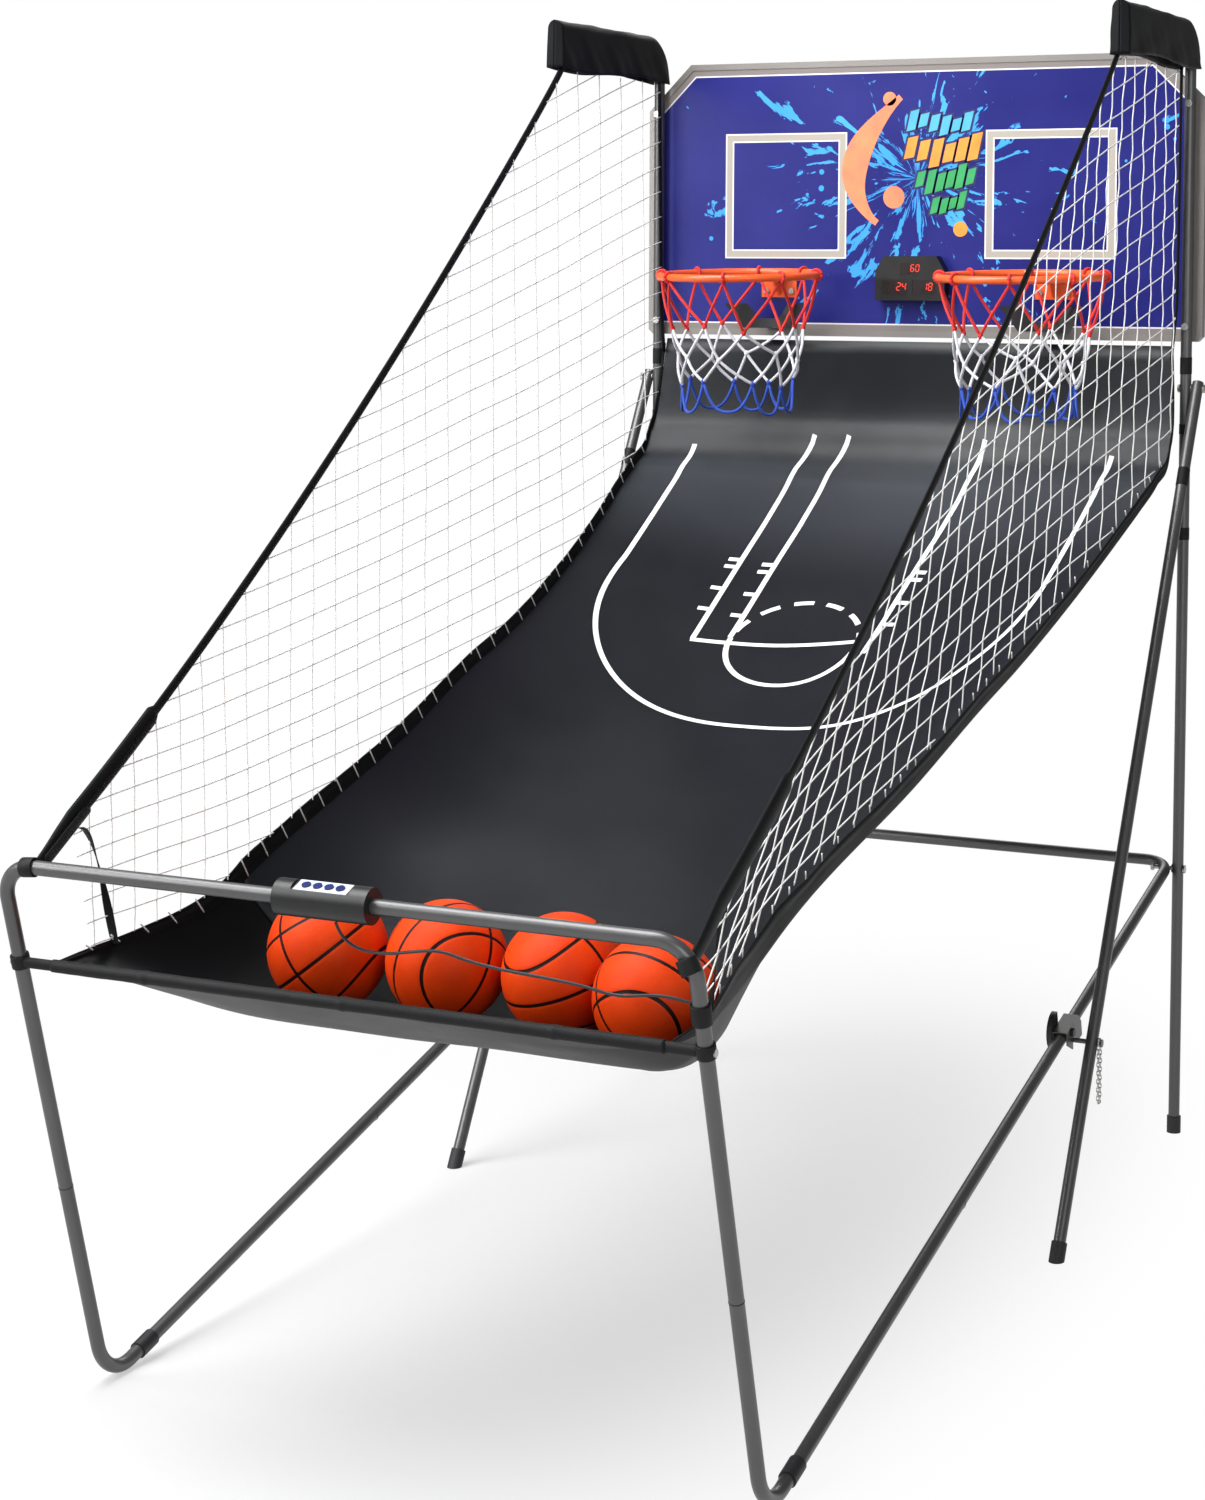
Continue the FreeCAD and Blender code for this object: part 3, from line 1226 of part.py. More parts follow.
def rounded_route(points):
    """Straight runs joined by tangent arcs, each as large as its two shorter half runs allow."""
    corners = [Vector(*point) for point in points]
    edges = []
    start = corners[0]
    for before, corner, after in zip(corners, corners[1:], corners[2:]):
        into = corner - before
        out = after - corner
        turn = into.getAngle(out)
        trim = 0.45 * min(into.Length, out.Length)
        print(f"cable arc radius {trim / math.tan(turn / 2):.0f} mm")
        arc_start = corner - into.normalize() * trim
        arc_end = corner + out.normalize() * trim
        bisector = (arc_start + arc_end) / 2 - corner
        sagitta = trim / math.cos(turn / 2) - trim * math.tan(turn / 2)
        radius = trim / math.tan(turn / 2)
        middle = corner + bisector.normalize() * (radius / math.cos(turn / 2) - radius)
        edges.append(Part.LineSegment(start, arc_start).toShape())
        edges.append(Part.Arc(arc_start, middle, arc_end).toShape())
        start = arc_end
    edges.append(Part.LineSegment(start, corners[-1]).toShape())
    return Part.Wire(edges)


def control_cable():
    """The thin cable from the control pad to the right front leg."""
    wire = rounded_route(CABLE_POINTS)
    radius = number("dims.cable_radius")
    item = swept_rod("control_cable", wire, radius)
    expected = math.pi * radius ** 2 * wire.Length
    if abs(item.Shape.Volume - expected) > 0.01 * expected:
        raise RuntimeError("The cable's volume isn't its section times its length")
    print(f"cable length {wire.Length:.0f} mm")
    return item


def balls():
    """Four hollow basketballs lying in the trough."""
    pieces = []
    for order in (1, 2, 3, 4):
        place = moved(number(f"dims.ball_{order}_across"),
                      number(f"worked.bar_line + dims.ball_{order}_setback"),
                      number("worked.ball_height"))
        skin = solid("Part::Sphere", f"ball_skin_{order}", {"Radius": "dims.ball_radius"}, place)
        air = solid("Part::Sphere", f"ball_air_{order}",
                    {"Radius": "dims.ball_radius - dims.ball_wall"}, place)
        pieces.append(cut(f"ball_{order}", skin, air))
    return pieces


# ---------------------------------------------------------------- the whole machine

def build():
    """Every sub-part, each under the name of its node."""
    nodes = backboard() + display()
    for side, sign in SIDES:
        nodes += poles(side, sign) + props(side, sign) + front_tubes(side, sign) + rear_tubes(side, sign)
        nodes += [rim(side, sign), rim_bracket(side, sign), hoop_net(side, sign), score_sensor(side, sign)]
        nodes += [side_net(side, sign), lock_knob(side, sign), lock_chain(side, sign)]
    nodes += [pole_feet(), board_bolts(), pivot_bolts(), foot_clips(), front_screws(), arm_sleeves()]
    nodes.append(grouped("lock_brackets", [lock_bracket(side, sign) for side, sign in SIDES]))
    nodes += [ramp_sheet(), ball_trough(), trough_rod(), control_pad(), control_cable()]
    nodes += buttons() + balls()
    return nodes


def check(nodes):
    """Stop if any object of the document failed or any sub-part isn't a sound shape."""
    doc.recompute()
    for item in doc.Objects:
        if "Invalid" in item.State or "Error" in item.State:
            raise RuntimeError(f"{item.Label} failed: {item.State}")
    for node in nodes:
        if node.Shape.isNull() or not node.Shape.isValid() or not node.Shape.Solids:
            raise RuntimeError(f"{node.Label} isn't a sound solid")


def write(nodes):
    """One STEP file for each sub-part."""
    os.makedirs("parts", exist_ok=True)
    for node in nodes:
        node.Shape.exportStep(os.path.join("parts", node.Label + ".step"))
    print(f"{len(nodes)} sub-parts written")


sub_parts = build()
check(sub_parts)
write(sub_parts)
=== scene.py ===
"""Looks of a folding two-player basketball hoop machine. Run as a script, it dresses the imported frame."""

import json
import math

import bpy
import numpy as np
from bpy.props import FloatProperty, IntProperty, PointerProperty
from mathutils import Matrix, Vector


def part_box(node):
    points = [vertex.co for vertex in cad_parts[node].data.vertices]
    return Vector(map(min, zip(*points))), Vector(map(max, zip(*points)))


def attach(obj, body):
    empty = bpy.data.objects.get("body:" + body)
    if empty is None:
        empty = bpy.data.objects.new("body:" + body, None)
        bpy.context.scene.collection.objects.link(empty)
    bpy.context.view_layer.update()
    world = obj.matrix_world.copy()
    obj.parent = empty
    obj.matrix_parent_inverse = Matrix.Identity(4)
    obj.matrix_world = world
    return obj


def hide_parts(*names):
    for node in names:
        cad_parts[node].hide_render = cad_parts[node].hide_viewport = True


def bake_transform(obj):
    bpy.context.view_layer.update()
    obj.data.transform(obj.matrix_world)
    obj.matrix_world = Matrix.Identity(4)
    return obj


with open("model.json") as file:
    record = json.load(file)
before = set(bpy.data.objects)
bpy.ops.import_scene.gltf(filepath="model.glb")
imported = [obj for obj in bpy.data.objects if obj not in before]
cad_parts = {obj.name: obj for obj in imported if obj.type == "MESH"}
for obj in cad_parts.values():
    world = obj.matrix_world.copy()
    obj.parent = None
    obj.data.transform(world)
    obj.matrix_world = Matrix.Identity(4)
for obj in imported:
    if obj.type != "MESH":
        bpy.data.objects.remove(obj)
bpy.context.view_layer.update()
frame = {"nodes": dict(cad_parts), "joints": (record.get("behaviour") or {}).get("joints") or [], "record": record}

bl_info = {
    "name": "Basketball Hoop Machine",
    "version": (1, 0, 0),
    "blender": (4, 5, 0),
    "location": "View3D > Sidebar > Hoop Machine",
    "description": "Builds the cloth, nets, prints and finishes of a folding basketball hoop machine",
    "category": "Object",
}

SIDES = (("left", -1), ("right", 1))
JOINTS = {joint["name"]: joint for joint in frame["joints"]}


def box(node):
    """The low and high corners of a CAD node's box."""
    return tuple(np.array(corner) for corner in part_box(node))


def middle(node):
    """The middle of a CAD node's box."""
    return sum(box(node)) / 2


def box_size(node):
    """The lengths of a CAD node's box."""
    low, high = box(node)
    return high - low


POLE_X, POLE_Y = middle("pole_lower_right")[:2]
BAR_Y, BAR_Z = middle("control_pad")[1:]
ROD_Y, ROD_Z = middle("trough_rod")[1:]
BALL_RADIUS = box_size("ball_1")[2] / 2
BALL_MIDDLES = np.array([middle(f"ball_{order}") for order in (1, 2, 3, 4)])
RIM_X, RIM_Y, RIM_Z = middle("rim_right")
RIM_RADIUS = box_size("rim_right")[0] / 2 - 0.007
BOARD_LOW, BOARD_HIGH = box("backboard_panel")
TUBE_RADIUS = box_size("pole_lower_right")[0] / 2
STRAP_RADIUS, STRAP_DEPTH = TUBE_RADIUS + 0.00045, 0.0005
LEG_LEAN, SIDE_TUBE_LEAN = 0.2775, 1.3165
TROUGH_DROP = 0.0026

# The ramp and trough as rows from the board to the trough's rod. Each row: the hem's place along the
# machine, its height and half width, then the cloth's middle (place and height) and how square its sag is.
CLOTH_ROWS = np.array([
    (1.028, 1.430, 0.498, 1.034, 1.430, 2.0), (1.016, 1.335, 0.505, 1.042, 1.338, 2.0),
    (0.980, 1.245, 0.510, 1.022, 1.250, 2.0), (0.905, 1.190, 0.507, 0.938, 1.166, 1.8),
    (0.827, 1.152, 0.500, 0.836, 1.102, 1.8), (0.740, 1.110, 0.490, 0.742, 1.051, 1.8),
    (0.300, 0.937, 0.454, 0.300, 0.828, 2.6), (0.132, 0.890, 0.447, 0.132, 0.768, 3.2),
    (-0.089, 0.818, 0.434, -0.089, 0.693, 4.0), (-0.560, 0.690, 0.415, -0.560, 0.580, 5.0),
    (-0.660, 0.655, 0.414, -0.660, 0.554, 7.5), (-0.820, 0.637, 0.436, -0.820, 0.5480, 7.0),
    (-0.900, 0.634, 0.449, -0.900, 0.580, 6.0), (-1.004, 0.636, 0.446, -1.004, 0.630, 6.0)])[::-1]
RAMP_FRONT = -0.600
NET_TOP_Z = box("side_net_right")[1][2]
ARM_FRONT_Y = box("arm_sleeves")[0][1]
EDGE_FOOT_Y, EDGE_HEAD_Y, EDGE_SAG = BAR_Y + 0.017, ARM_FRONT_Y + 0.018, 0.070
NET_BACK_Y = 1.018


# ---------------------------------------------------------------- surfaces

def smooth_line(at, places, heights):
    """A curve through given points: cubic Hermite spans whose slopes are the mean of their neighbours'."""
    slopes = np.gradient(heights, places)
    span = np.clip(np.searchsorted(places, at, side="right") - 1, 0, len(places) - 2)
    width = places[span + 1] - places[span]
    part = np.clip((at - places[span]) / width, 0, 1)
    return ((1 + 2 * part) * (1 - part) ** 2 * heights[span] + part * (1 - part) ** 2 * width * slopes[span]
            + part ** 2 * (3 - 2 * part) * heights[span + 1]
            + part ** 2 * (part - 1) * width * slopes[span + 1])


def stacked(*values):
    """Coordinates of any shapes that fit together, as one array of points."""
    return np.stack(np.broadcast_arrays(*values), axis=-1)


def wobble(a, b, size, scale, turn=0.0):
    """A smooth unevenness of a given size: three crossed sine waves over a plane, without a seed."""
    a, b = a / scale, b / scale
    return size * (np.sin(a * 2.1 + b * 1.3 + turn) + np.sin(b * 2.9 - a * 1.1 + 2 * turn)
                   + np.sin(a * 4.3 + b * 3.7 + 3 * turn) * 0.5) / 2.5


def grid_faces(rows, columns, close_rows=False, close_columns=False):
    """The four-sided faces of a grid of rows by columns, joined round where a direction closes."""
    row = np.arange(rows if close_rows else rows - 1)
    column = np.arange(columns if close_columns else columns - 1)
    row, column = np.meshgrid(row, column, indexing="ij")
    after_row, after_column = (row + 1) % rows, (column + 1) % columns
    return stacked(row * columns + column, row * columns + after_column,
                   after_row * columns + after_column, after_row * columns + column).reshape(-1, 4)


def copies(faces, count, step):
    """The same faces again for each of several runs of points."""
    faces = faces[None] + (np.arange(count) * step)[:, None, None]
    return list(faces.reshape(-1, faces.shape[-1]))


def joined(*shapes):
    """Several shapes' points and faces as one."""
    points, faces, start = [], [], 0
    for some_points, some_faces in shapes:
        points.append(some_points)
        faces += [np.array(face) + start for face in some_faces]
        start += len(some_points)
    return np.concatenate(points), faces


def new_piece(name, points, faces, material, uv=None, smooth=True):
    """A mesh object at the origin from arrays of points and faces, with a UV map if one is given."""
    mesh = bpy.data.meshes.new(name)
    mesh.from_pydata(np.asarray(points, dtype=float).reshape(-1, 3), [], [tuple(f) for f in faces])
    if uv is not None:
        layer = mesh.uv_layers.new(name="cloth")
        corners = np.empty(len(mesh.loops), dtype=np.int32)
        mesh.loops.foreach_get("vertex_index", corners)
        layer.data.foreach_set("uv", np.asarray(uv, dtype=np.float32).reshape(-1, 2)[corners].ravel())
    mesh.polygons.foreach_set("use_smooth", np.full(len(mesh.polygons), smooth))
    mesh.materials.append(material)
    mesh.validate()
    piece = bpy.data.objects.new(name, mesh)
    bpy.context.scene.collection.objects.link(piece)
    return piece


def thicken(piece, thickness, offset=0.0):
    """Gives a cloth surface its thickness, in its own mesh."""
    solid = piece.modifiers.new("Thickness", "SOLIDIFY")
    solid.thickness = thickness
    solid.offset = offset
    done = bpy.data.meshes.new_from_object(piece.evaluated_get(bpy.context.evaluated_depsgraph_get()))
    piece.modifiers.clear()
    piece.data = done


def unit(vectors):
    """Vectors of length one."""
    return vectors / np.maximum(np.linalg.norm(vectors, axis=-1, keepdims=True), 1e-12)


def tubes(paths, radius, sides, reference, flat=1.0):
    """Round or flattened bars along many paths of equal point counts: a circle of points in the plane
    of the reference direction and the one square to it, at every path point, with closed ends."""
    paths = np.asarray(paths, dtype=float)
    count, steps = paths.shape[:2]
    along = unit(np.gradient(paths, axis=1))
    reference = np.broadcast_to(reference, paths.shape)
    first = unit(reference - (reference * along).sum(-1, keepdims=True) * along)
    second = np.cross(along, first)
    angle = np.linspace(0, 2 * np.pi, sides, endpoint=False)
    radius = np.broadcast_to(radius, paths.shape[:2])[..., None, None]
    points = (paths[:, :, None] + radius * (np.cos(angle)[:, None] * first[:, :, None] * flat
                                            + np.sin(angle)[:, None] * second[:, :, None]))
    ring = np.arange(sides)
    parts = (grid_faces(steps, sides, close_columns=True), ring[None, ::-1],
             ring[None] + (steps - 1) * sides)
    return points.reshape(-1, 3), sum((copies(part, count, steps * sides) for part in parts), [])


def bar_piece(name, paths, radius, sides, reference, finish, flat=1.0, uv=None):
    """A new piece of round or flattened bars."""
    return new_piece(name, *tubes(paths, radius, sides, reference, flat), material(finish), uv)


def band_around(path, normal, width, depth, name, material):
    """A flat webbing loop: a rounded rectangle section carried round a closed path."""
    path = np.asarray(path, dtype=float)
    along = unit(np.roll(path, -1, axis=0) - np.roll(path, 1, axis=0))
    across = np.broadcast_to(unit(np.asarray(normal, dtype=float)), path.shape)
    out = unit(np.cross(along, across))
    side = np.array([-1, -1, -0.92, 0.92, 1, 1, 0.92, -0.92]) / 2
    rise = np.array([-0.7, 0.7, 1, 1, 0.7, -0.7, -1, -1]) / 2
    points = (path[:, None] + across[:, None] * (side * width)[:, None]
              + out[:, None] * (rise * depth)[:, None])
    return new_piece(name, points, grid_faces(len(path), 8, True, True), material)


def strap_round(name, centre, axis, radius, width, depth, finish="webbing", first=(1.0, 0.0, 0.0)):
    """A webbing loop round a tube: 32 points on a circle square to the tube's axis."""
    angle = np.linspace(0, 2 * np.pi, 32, endpoint=False)[:, None]
    path = np.asarray(centre) + radius * (np.cos(angle) * np.asarray(first)
                                          + np.sin(angle) * np.cross(axis, first))
    return band_around(path, axis, width, depth, name, material(finish))


# ---------------------------------------------------------------- materials

def linear(code):
    """A colour written as sRGB hex, as the linear values that shaders take."""
    value = np.array([int(code[place:place + 2], 16) for place in (1, 3, 5)]) / 255
    return (*np.where(value <= 0.04045, value / 12.92, ((value + 0.055) / 1.055) ** 2.4), 1.0)


def add_node(tree, kind, sockets=(), to=None, give=0, **settings):
    """Adds one shader node with its settings and gives one of its outputs. Its sockets take values, hex
    colours or links, by name or in the node's own order. The output may also go to a named socket of the
    material's shader."""
    node = tree.nodes.new("ShaderNode" + kind)
    for name, value in settings.items():
        setattr(node, name, value)
    for name, value in sockets.items() if isinstance(sockets, dict) else enumerate(sockets):
        if isinstance(value, bpy.types.NodeSocket):
            tree.links.new(value, node.inputs[name])
        else:
            node.inputs[name].default_value = linear(value) if isinstance(value, str) else value
    if to:
        tree.links.new(node.outputs[give], tree.nodes["Principled BSDF"].inputs[to])
    return node.outputs[give]


def new_material(name, colour, roughness, metallic=0.0, **more):
    """A material with one principled shader, its constants set on the shader's own sockets."""
    material = bpy.data.materials.new(name)
    material.use_nodes = True
    shader = material.node_tree.nodes["Principled BSDF"]
    shader.inputs["Base Color"].default_value = linear(colour)
    shader.inputs["Roughness"].default_value = roughness
    shader.inputs["Metallic"].default_value = metallic
    for socket, value in more.items():
        shader.inputs[socket.replace("_", " ")].default_value = value
    return material, material.node_tree


def grained(name, colours, roughness, metallic, clouding, grain, bump, rougher):
    """A skin of two colours in soft clouds, with a fine grain. Clouding and grain are a noise's scale and
    detail, bump a depth and strength, rougher how far the roughness falls and rises with the clouds."""
    material, tree = new_material(name, colours[0], roughness, metallic)
    place = add_node(tree, "TexCoord", give="Object")
    cloud = add_node(tree, "TexNoise", {"Vector": place, "Scale": clouding[0], "Detail": clouding[1]})
    add_node(tree, "MixRGB", (cloud, *colours), to="Base Color")
    grit = add_node(tree, "TexNoise", {"Vector": place, "Scale": grain[0], "Detail": grain[1]})
    add_node(tree, "Bump", {"Height": grit, "Distance": bump[0], "Strength": bump[1]}, to="Normal")
    add_node(tree, "MapRange", (cloud, 0.0, 1.0, roughness - rougher, roughness + 0.08), to="Roughness")
    return material


def painted_steel(name, colour, light, roughness=0.36, metallic=0.55):
    """Powder-coated steel tube: a fine orange-peel skin, a little metal flake and a soft wide highlight."""
    return grained(name, (colour, light), roughness, metallic, (9.0, 4.0), (700.0, 2.0), (0.00012, 0.35),
                   0.05)


def moulded_plastic(name, colour, light, roughness=0.5, grain=900.0):
    """Injection-moulded ABS: near-black, with the fine spark-eroded grain of its mould."""
    return grained(name, (colour, light), roughness, 0.0, (30.0, 3.0), (grain, 1.0), (0.00015, 0.5), 0.06)


def woven_cloth(name, colour, light, pitch, roughness=0.62, sheen=0.12, gloss=0.10, depth=0.00006):
    """Coated Oxford polyester: crossed threads on the piece's own UV map, which is in metres, with the
    soft clouding of handled cloth. The pitch is drawn a little coarse so that it shows."""
    material, tree = new_material(name, colour, roughness, Sheen_Weight=sheen, Specular_IOR_Level=gloss)
    place = add_node(tree, "UVMap", uv_map="cloth")
    split = add_node(tree, "SeparateXYZ", {"Vector": place}).node
    waves = []
    for axis in "XY":
        turns = add_node(tree, "Math", (split.outputs[axis], 2 * math.pi / pitch), operation="MULTIPLY")
        waves.append(add_node(tree, "Math", (turns,), operation="SINE"))
    cross = add_node(tree, "Math", waves, operation="MULTIPLY")
    cloud = add_node(tree, "TexNoise", {"Vector": place, "Scale": 7.0, "Detail": 5.0, "Roughness": 0.6})
    lift = add_node(tree, "MapRange", (cross, -1.0, 1.0, -0.12, 0.12))
    factor = add_node(tree, "Math", (cloud, lift), operation="ADD", use_clamp=True)
    add_node(tree, "MixRGB", (factor, colour, light), to="Base Color")
    add_node(tree, "Bump", {"Height": cross, "Distance": depth, "Strength": 0.5}, to="Normal")
    add_node(tree, "MapRange", (cloud, 0.0, 1.0, roughness - 0.1, roughness + 0.08), to="Roughness")
    return material


def painted_knee_sheen(material, colour):
    """A painted sheen where the cloth bends up to the board: a soft paler band along its length, by the
    UV map's metres from the board's edge, standing in for the light that the bend catches."""
    tree = material.node_tree
    base = tree.nodes["Principled BSDF"].inputs["Base Color"]
    place = add_node(tree, "UVMap", uv_map="cloth")
    far = add_node(tree, "SeparateXYZ", {"Vector": place}, give="Y")
    # Painted sheen: the band's mask, rising from 0.215 m down the cloth and fading out by 0.65 m.
    start = add_node(tree, "MapRange", (far, 0.215, 0.270, 0.15, 1.0), interpolation_type="SMOOTHSTEP")
    end = add_node(tree, "MapRange", (far, 0.310, 0.650, 1.0, 0.0), interpolation_type="SMOOTHSTEP")
    share = add_node(tree, "Math", (start, end), operation="MULTIPLY")
    tree.links.new(add_node(tree, "MixRGB", (share, base.links[0].from_socket, colour)), base)
    return material


def ribbed(name, colours, base, roughness, wave, bump, **more):
    """Slanting ribs of two colours on the object's own place: a wave's scale and distortion, and a bump's
    depth and strength."""
    material, tree = new_material(name, base, roughness, **more)
    place = add_node(tree, "TexCoord", give="Object")
    rib = add_node(tree, "TexWave", {"Vector": place, "Scale": wave[0], "Distortion": wave[1]},
                   bands_direction="DIAGONAL")
    add_node(tree, "MixRGB", (rib, *colours), to="Base Color")
    add_node(tree, "Bump", {"Height": rib, "Distance": bump[0], "Strength": bump[1]}, to="Normal")
    return material


def webbing(name, colour, light):
    """Woven polypropylene webbing: short diagonal ribs."""
    return ribbed(name, (colour, light), colour, 0.6, (130.0, 0.6), (0.0004, 0.5), Specular_IOR_Level=0.25)


def twisted_cord(name, colour, shadow):
    """Braided polyester cord: fine slanting strands, drawn as coarse as they need to be to show."""
    return ribbed(name, (shadow, colour), colour, 0.68, (210.0, 1.5), (0.0005, 0.6), Sheen_Weight=0.1)


def zinc_plate(name, colour, light, roughness=0.34):
    """Bright zinc-plated steel: pale grey metal with faint crystalline clouding."""
    material, tree = new_material(name, colour, roughness, 1.0)
    place = add_node(tree, "TexCoord", give="Object")
    crystal = add_node(tree, "TexVoronoi", {"Vector": place, "Scale": 320.0})
    add_node(tree, "MixRGB", (crystal, colour, light), to="Base Color")
    add_node(tree, "MapRange", (crystal, 0.0, 1.0, roughness - 0.06, roughness + 0.1), to="Roughness")
    return material


def basketball_rubber():
    """Moulded rubber: a pebbled orange skin with smooth black sunken seams. The attribute seam_place is
    each point's direction from the ball's middle, in the ball's own turned frame."""
    material, tree = new_material("moulded_rubber_orange", "#e0461c", 0.5, Specular_IOR_Level=0.12)
    place = add_node(tree, "Attribute", attribute_name="seam_place", give="Vector")
    split = add_node(tree, "SeparateXYZ", {"Vector": place}).node
    size = [add_node(tree, "Math", (split.outputs[axis],), operation="ABSOLUTE") for axis in "XYZ"]
    square = add_node(tree, "Math", (size[1], size[1]), operation="MULTIPLY")
    oval = add_node(tree, "Math", (square, 0.30, 0.52), operation="MULTIPLY_ADD")
    off = add_node(tree, "Math", (size[0], oval), operation="SUBTRACT")
    ear = add_node(tree, "Math", (off,), operation="ABSOLUTE")
    rings = add_node(tree, "Math", (size[0], size[2]), operation="MINIMUM")
    nearest = add_node(tree, "Math", (rings, ear), operation="MINIMUM")
    seam = add_node(tree, "MapRange", (nearest, 0.026, 0.032, 1.0, 0.0))
    cloud = add_node(tree, "TexNoise", {"Vector": place, "Scale": 2.2, "Detail": 4.0})
    skin = add_node(tree, "MixRGB", (cloud, "#c63006", "#e6470a"))
    add_node(tree, "MixRGB", (seam, skin, "#1c0f0c"), to="Base Color")
    pebble = add_node(tree, "TexVoronoi", {"Vector": place, "Scale": 42.0}, feature="F1")
    add_node(tree, "Math", (seam, -0.12, 0.52), to="Roughness", operation="MULTIPLY_ADD")
    add_node(tree, "Bump", {"Height": pebble, "Distance": -0.0004, "Strength": 0.5}, to="Normal")
    return material


def printed_board():
    """Screen-printed board: a deep blue field with pale splashes of a generic kind, a warm grey border
    band with a white line inside it, and two framed target squares. All of it is worked out from the
    place on the board: distances to straight edges, rings and smooth noise. Its back is plain grey."""
    material, tree = new_material("screen_printed_board", "#2c2a8c", 0.32, Specular_IOR_Level=0.18)
    split = add_node(tree, "SeparateXYZ", {"Vector": add_node(tree, "TexCoord", give="Object")}).node
    across, height = split.outputs["X"], split.outputs["Z"]
    out = add_node(tree, "Math", (across,), operation="ABSOLUTE")
    half, low, high = BOARD_HIGH[0], BOARD_LOW[2], BOARD_HIGH[2]
    to_side = add_node(tree, "Math", (half, out), operation="SUBTRACT")
    to_low = add_node(tree, "Math", (height, low), operation="SUBTRACT")
    to_high = add_node(tree, "Math", (high, height), operation="SUBTRACT")
    corner = add_node(tree, "Math", (to_side, to_high), operation="ADD")
    chamfer = add_node(tree, "Math", (corner, 0.7071, -0.087 * 0.7071), operation="MULTIPLY_ADD")
    edge = to_side
    for other in (to_low, to_high, chamfer):
        edge = add_node(tree, "Math", (edge, other), operation="MINIMUM")
    # The field: darker towards the middle, violet towards the left.
    place = add_node(tree, "CombineXYZ", {"X": across, "Y": height})
    cloud = add_node(tree, "TexNoise", {"Vector": place, "Scale": 5.0, "Detail": 3.0})
    drift = add_node(tree, "MapRange", (across, -0.55, 0.55, 0.35, -0.1))
    tone = add_node(tree, "Math", (cloud, drift), operation="ADD", use_clamp=True)
    field = add_node(tree, "MixRGB", (tone, "#11145e", "#2a2c7c"))
    # Pale splashes that fly out from the board's middle: noise on the direction and, more slowly, on the
    # distance, so that each splash is drawn out along its own line, with rounder blobs near the middle.
    from_middle = add_node(tree, "VectorMath", (place, (0.005, 1.735, 0)), operation="SUBTRACT")
    heading = add_node(tree, "VectorMath", (from_middle,), operation="NORMALIZE")
    heading = add_node(tree, "VectorMath", (heading, (3.4, 3.4, 0)), operation="MULTIPLY")
    distance = add_node(tree, "VectorMath", (from_middle,), operation="LENGTH", give="Value")
    drawn = add_node(tree, "Math", (distance, 6.5), operation="MULTIPLY")
    depth = add_node(tree, "CombineXYZ", {"Z": drawn})
    ray = add_node(tree, "VectorMath", (heading, depth), operation="ADD")
    streak = add_node(tree, "TexNoise", {"Vector": ray, "Scale": 1.9, "Detail": 5.0, "Roughness": 0.6,
                                         "Distortion": 0.9})
    reach = add_node(tree, "MapRange", (distance, 0.05, 0.42, 0.535, 0.685))
    splash = add_node(tree, "Math", (streak, reach), operation="SUBTRACT")
    splash = add_node(tree, "MapRange", (splash, 0.0, 0.008, 0.0, 1.0))
    tint = add_node(tree, "MixRGB", (cloud, "#2f86dc", "#55b4f4"))
    field = add_node(tree, "MixRGB", (splash, field, tint))
    drop = add_node(tree, "TexVoronoi", {"Vector": place, "Scale": 26.0, "Randomness": 1.0})
    few = add_node(tree, "TexNoise", {"Vector": place, "Scale": 7.0, "Detail": 1.0})
    size = add_node(tree, "MapRange", (few, 0.60, 0.75, 0.0, 0.22))
    dot = add_node(tree, "Math", (drop, size), operation="LESS_THAN")
    field = add_node(tree, "MixRGB", (dot, field, "#3c9bea"))
    # Two target frames.
    reaches = []
    for source, centre, reach in ((out, 0.2615, 0.124), (height, 1.704, 0.1185)):
        off = add_node(tree, "Math", (source, centre), operation="SUBTRACT")
        far = add_node(tree, "Math", (off,), operation="ABSOLUTE")
        reaches.append(add_node(tree, "Math", (far, reach), operation="SUBTRACT"))
    target = add_node(tree, "Math", reaches, operation="MAXIMUM")
    for source, centre, reach, colour in (
            (target, -0.008, 0.0085, "#e6e4e4"), (target, -0.008, 0.0058, "#aca69c"),
            (edge, 0.0115, 0.0124, "#e2dfe2"), (edge, 0.0100, 0.0112, "#837d7a")):
        mask = add_node(tree, "Math", (source, centre, reach), operation="COMPARE")
        field = add_node(tree, "MixRGB", (mask, field, colour))
    near_back = float(BOARD_HIGH[1] - 0.001)
    behind = add_node(tree, "Math", (split.outputs["Y"], near_back), operation="GREATER_THAN")
    add_node(tree, "MixRGB", (behind, field, "#8f8d89"), to="Base Color")
    add_node(tree, "MapRange", (cloud, 0.0, 1.0, 0.28, 0.4), to="Roughness")
    return material


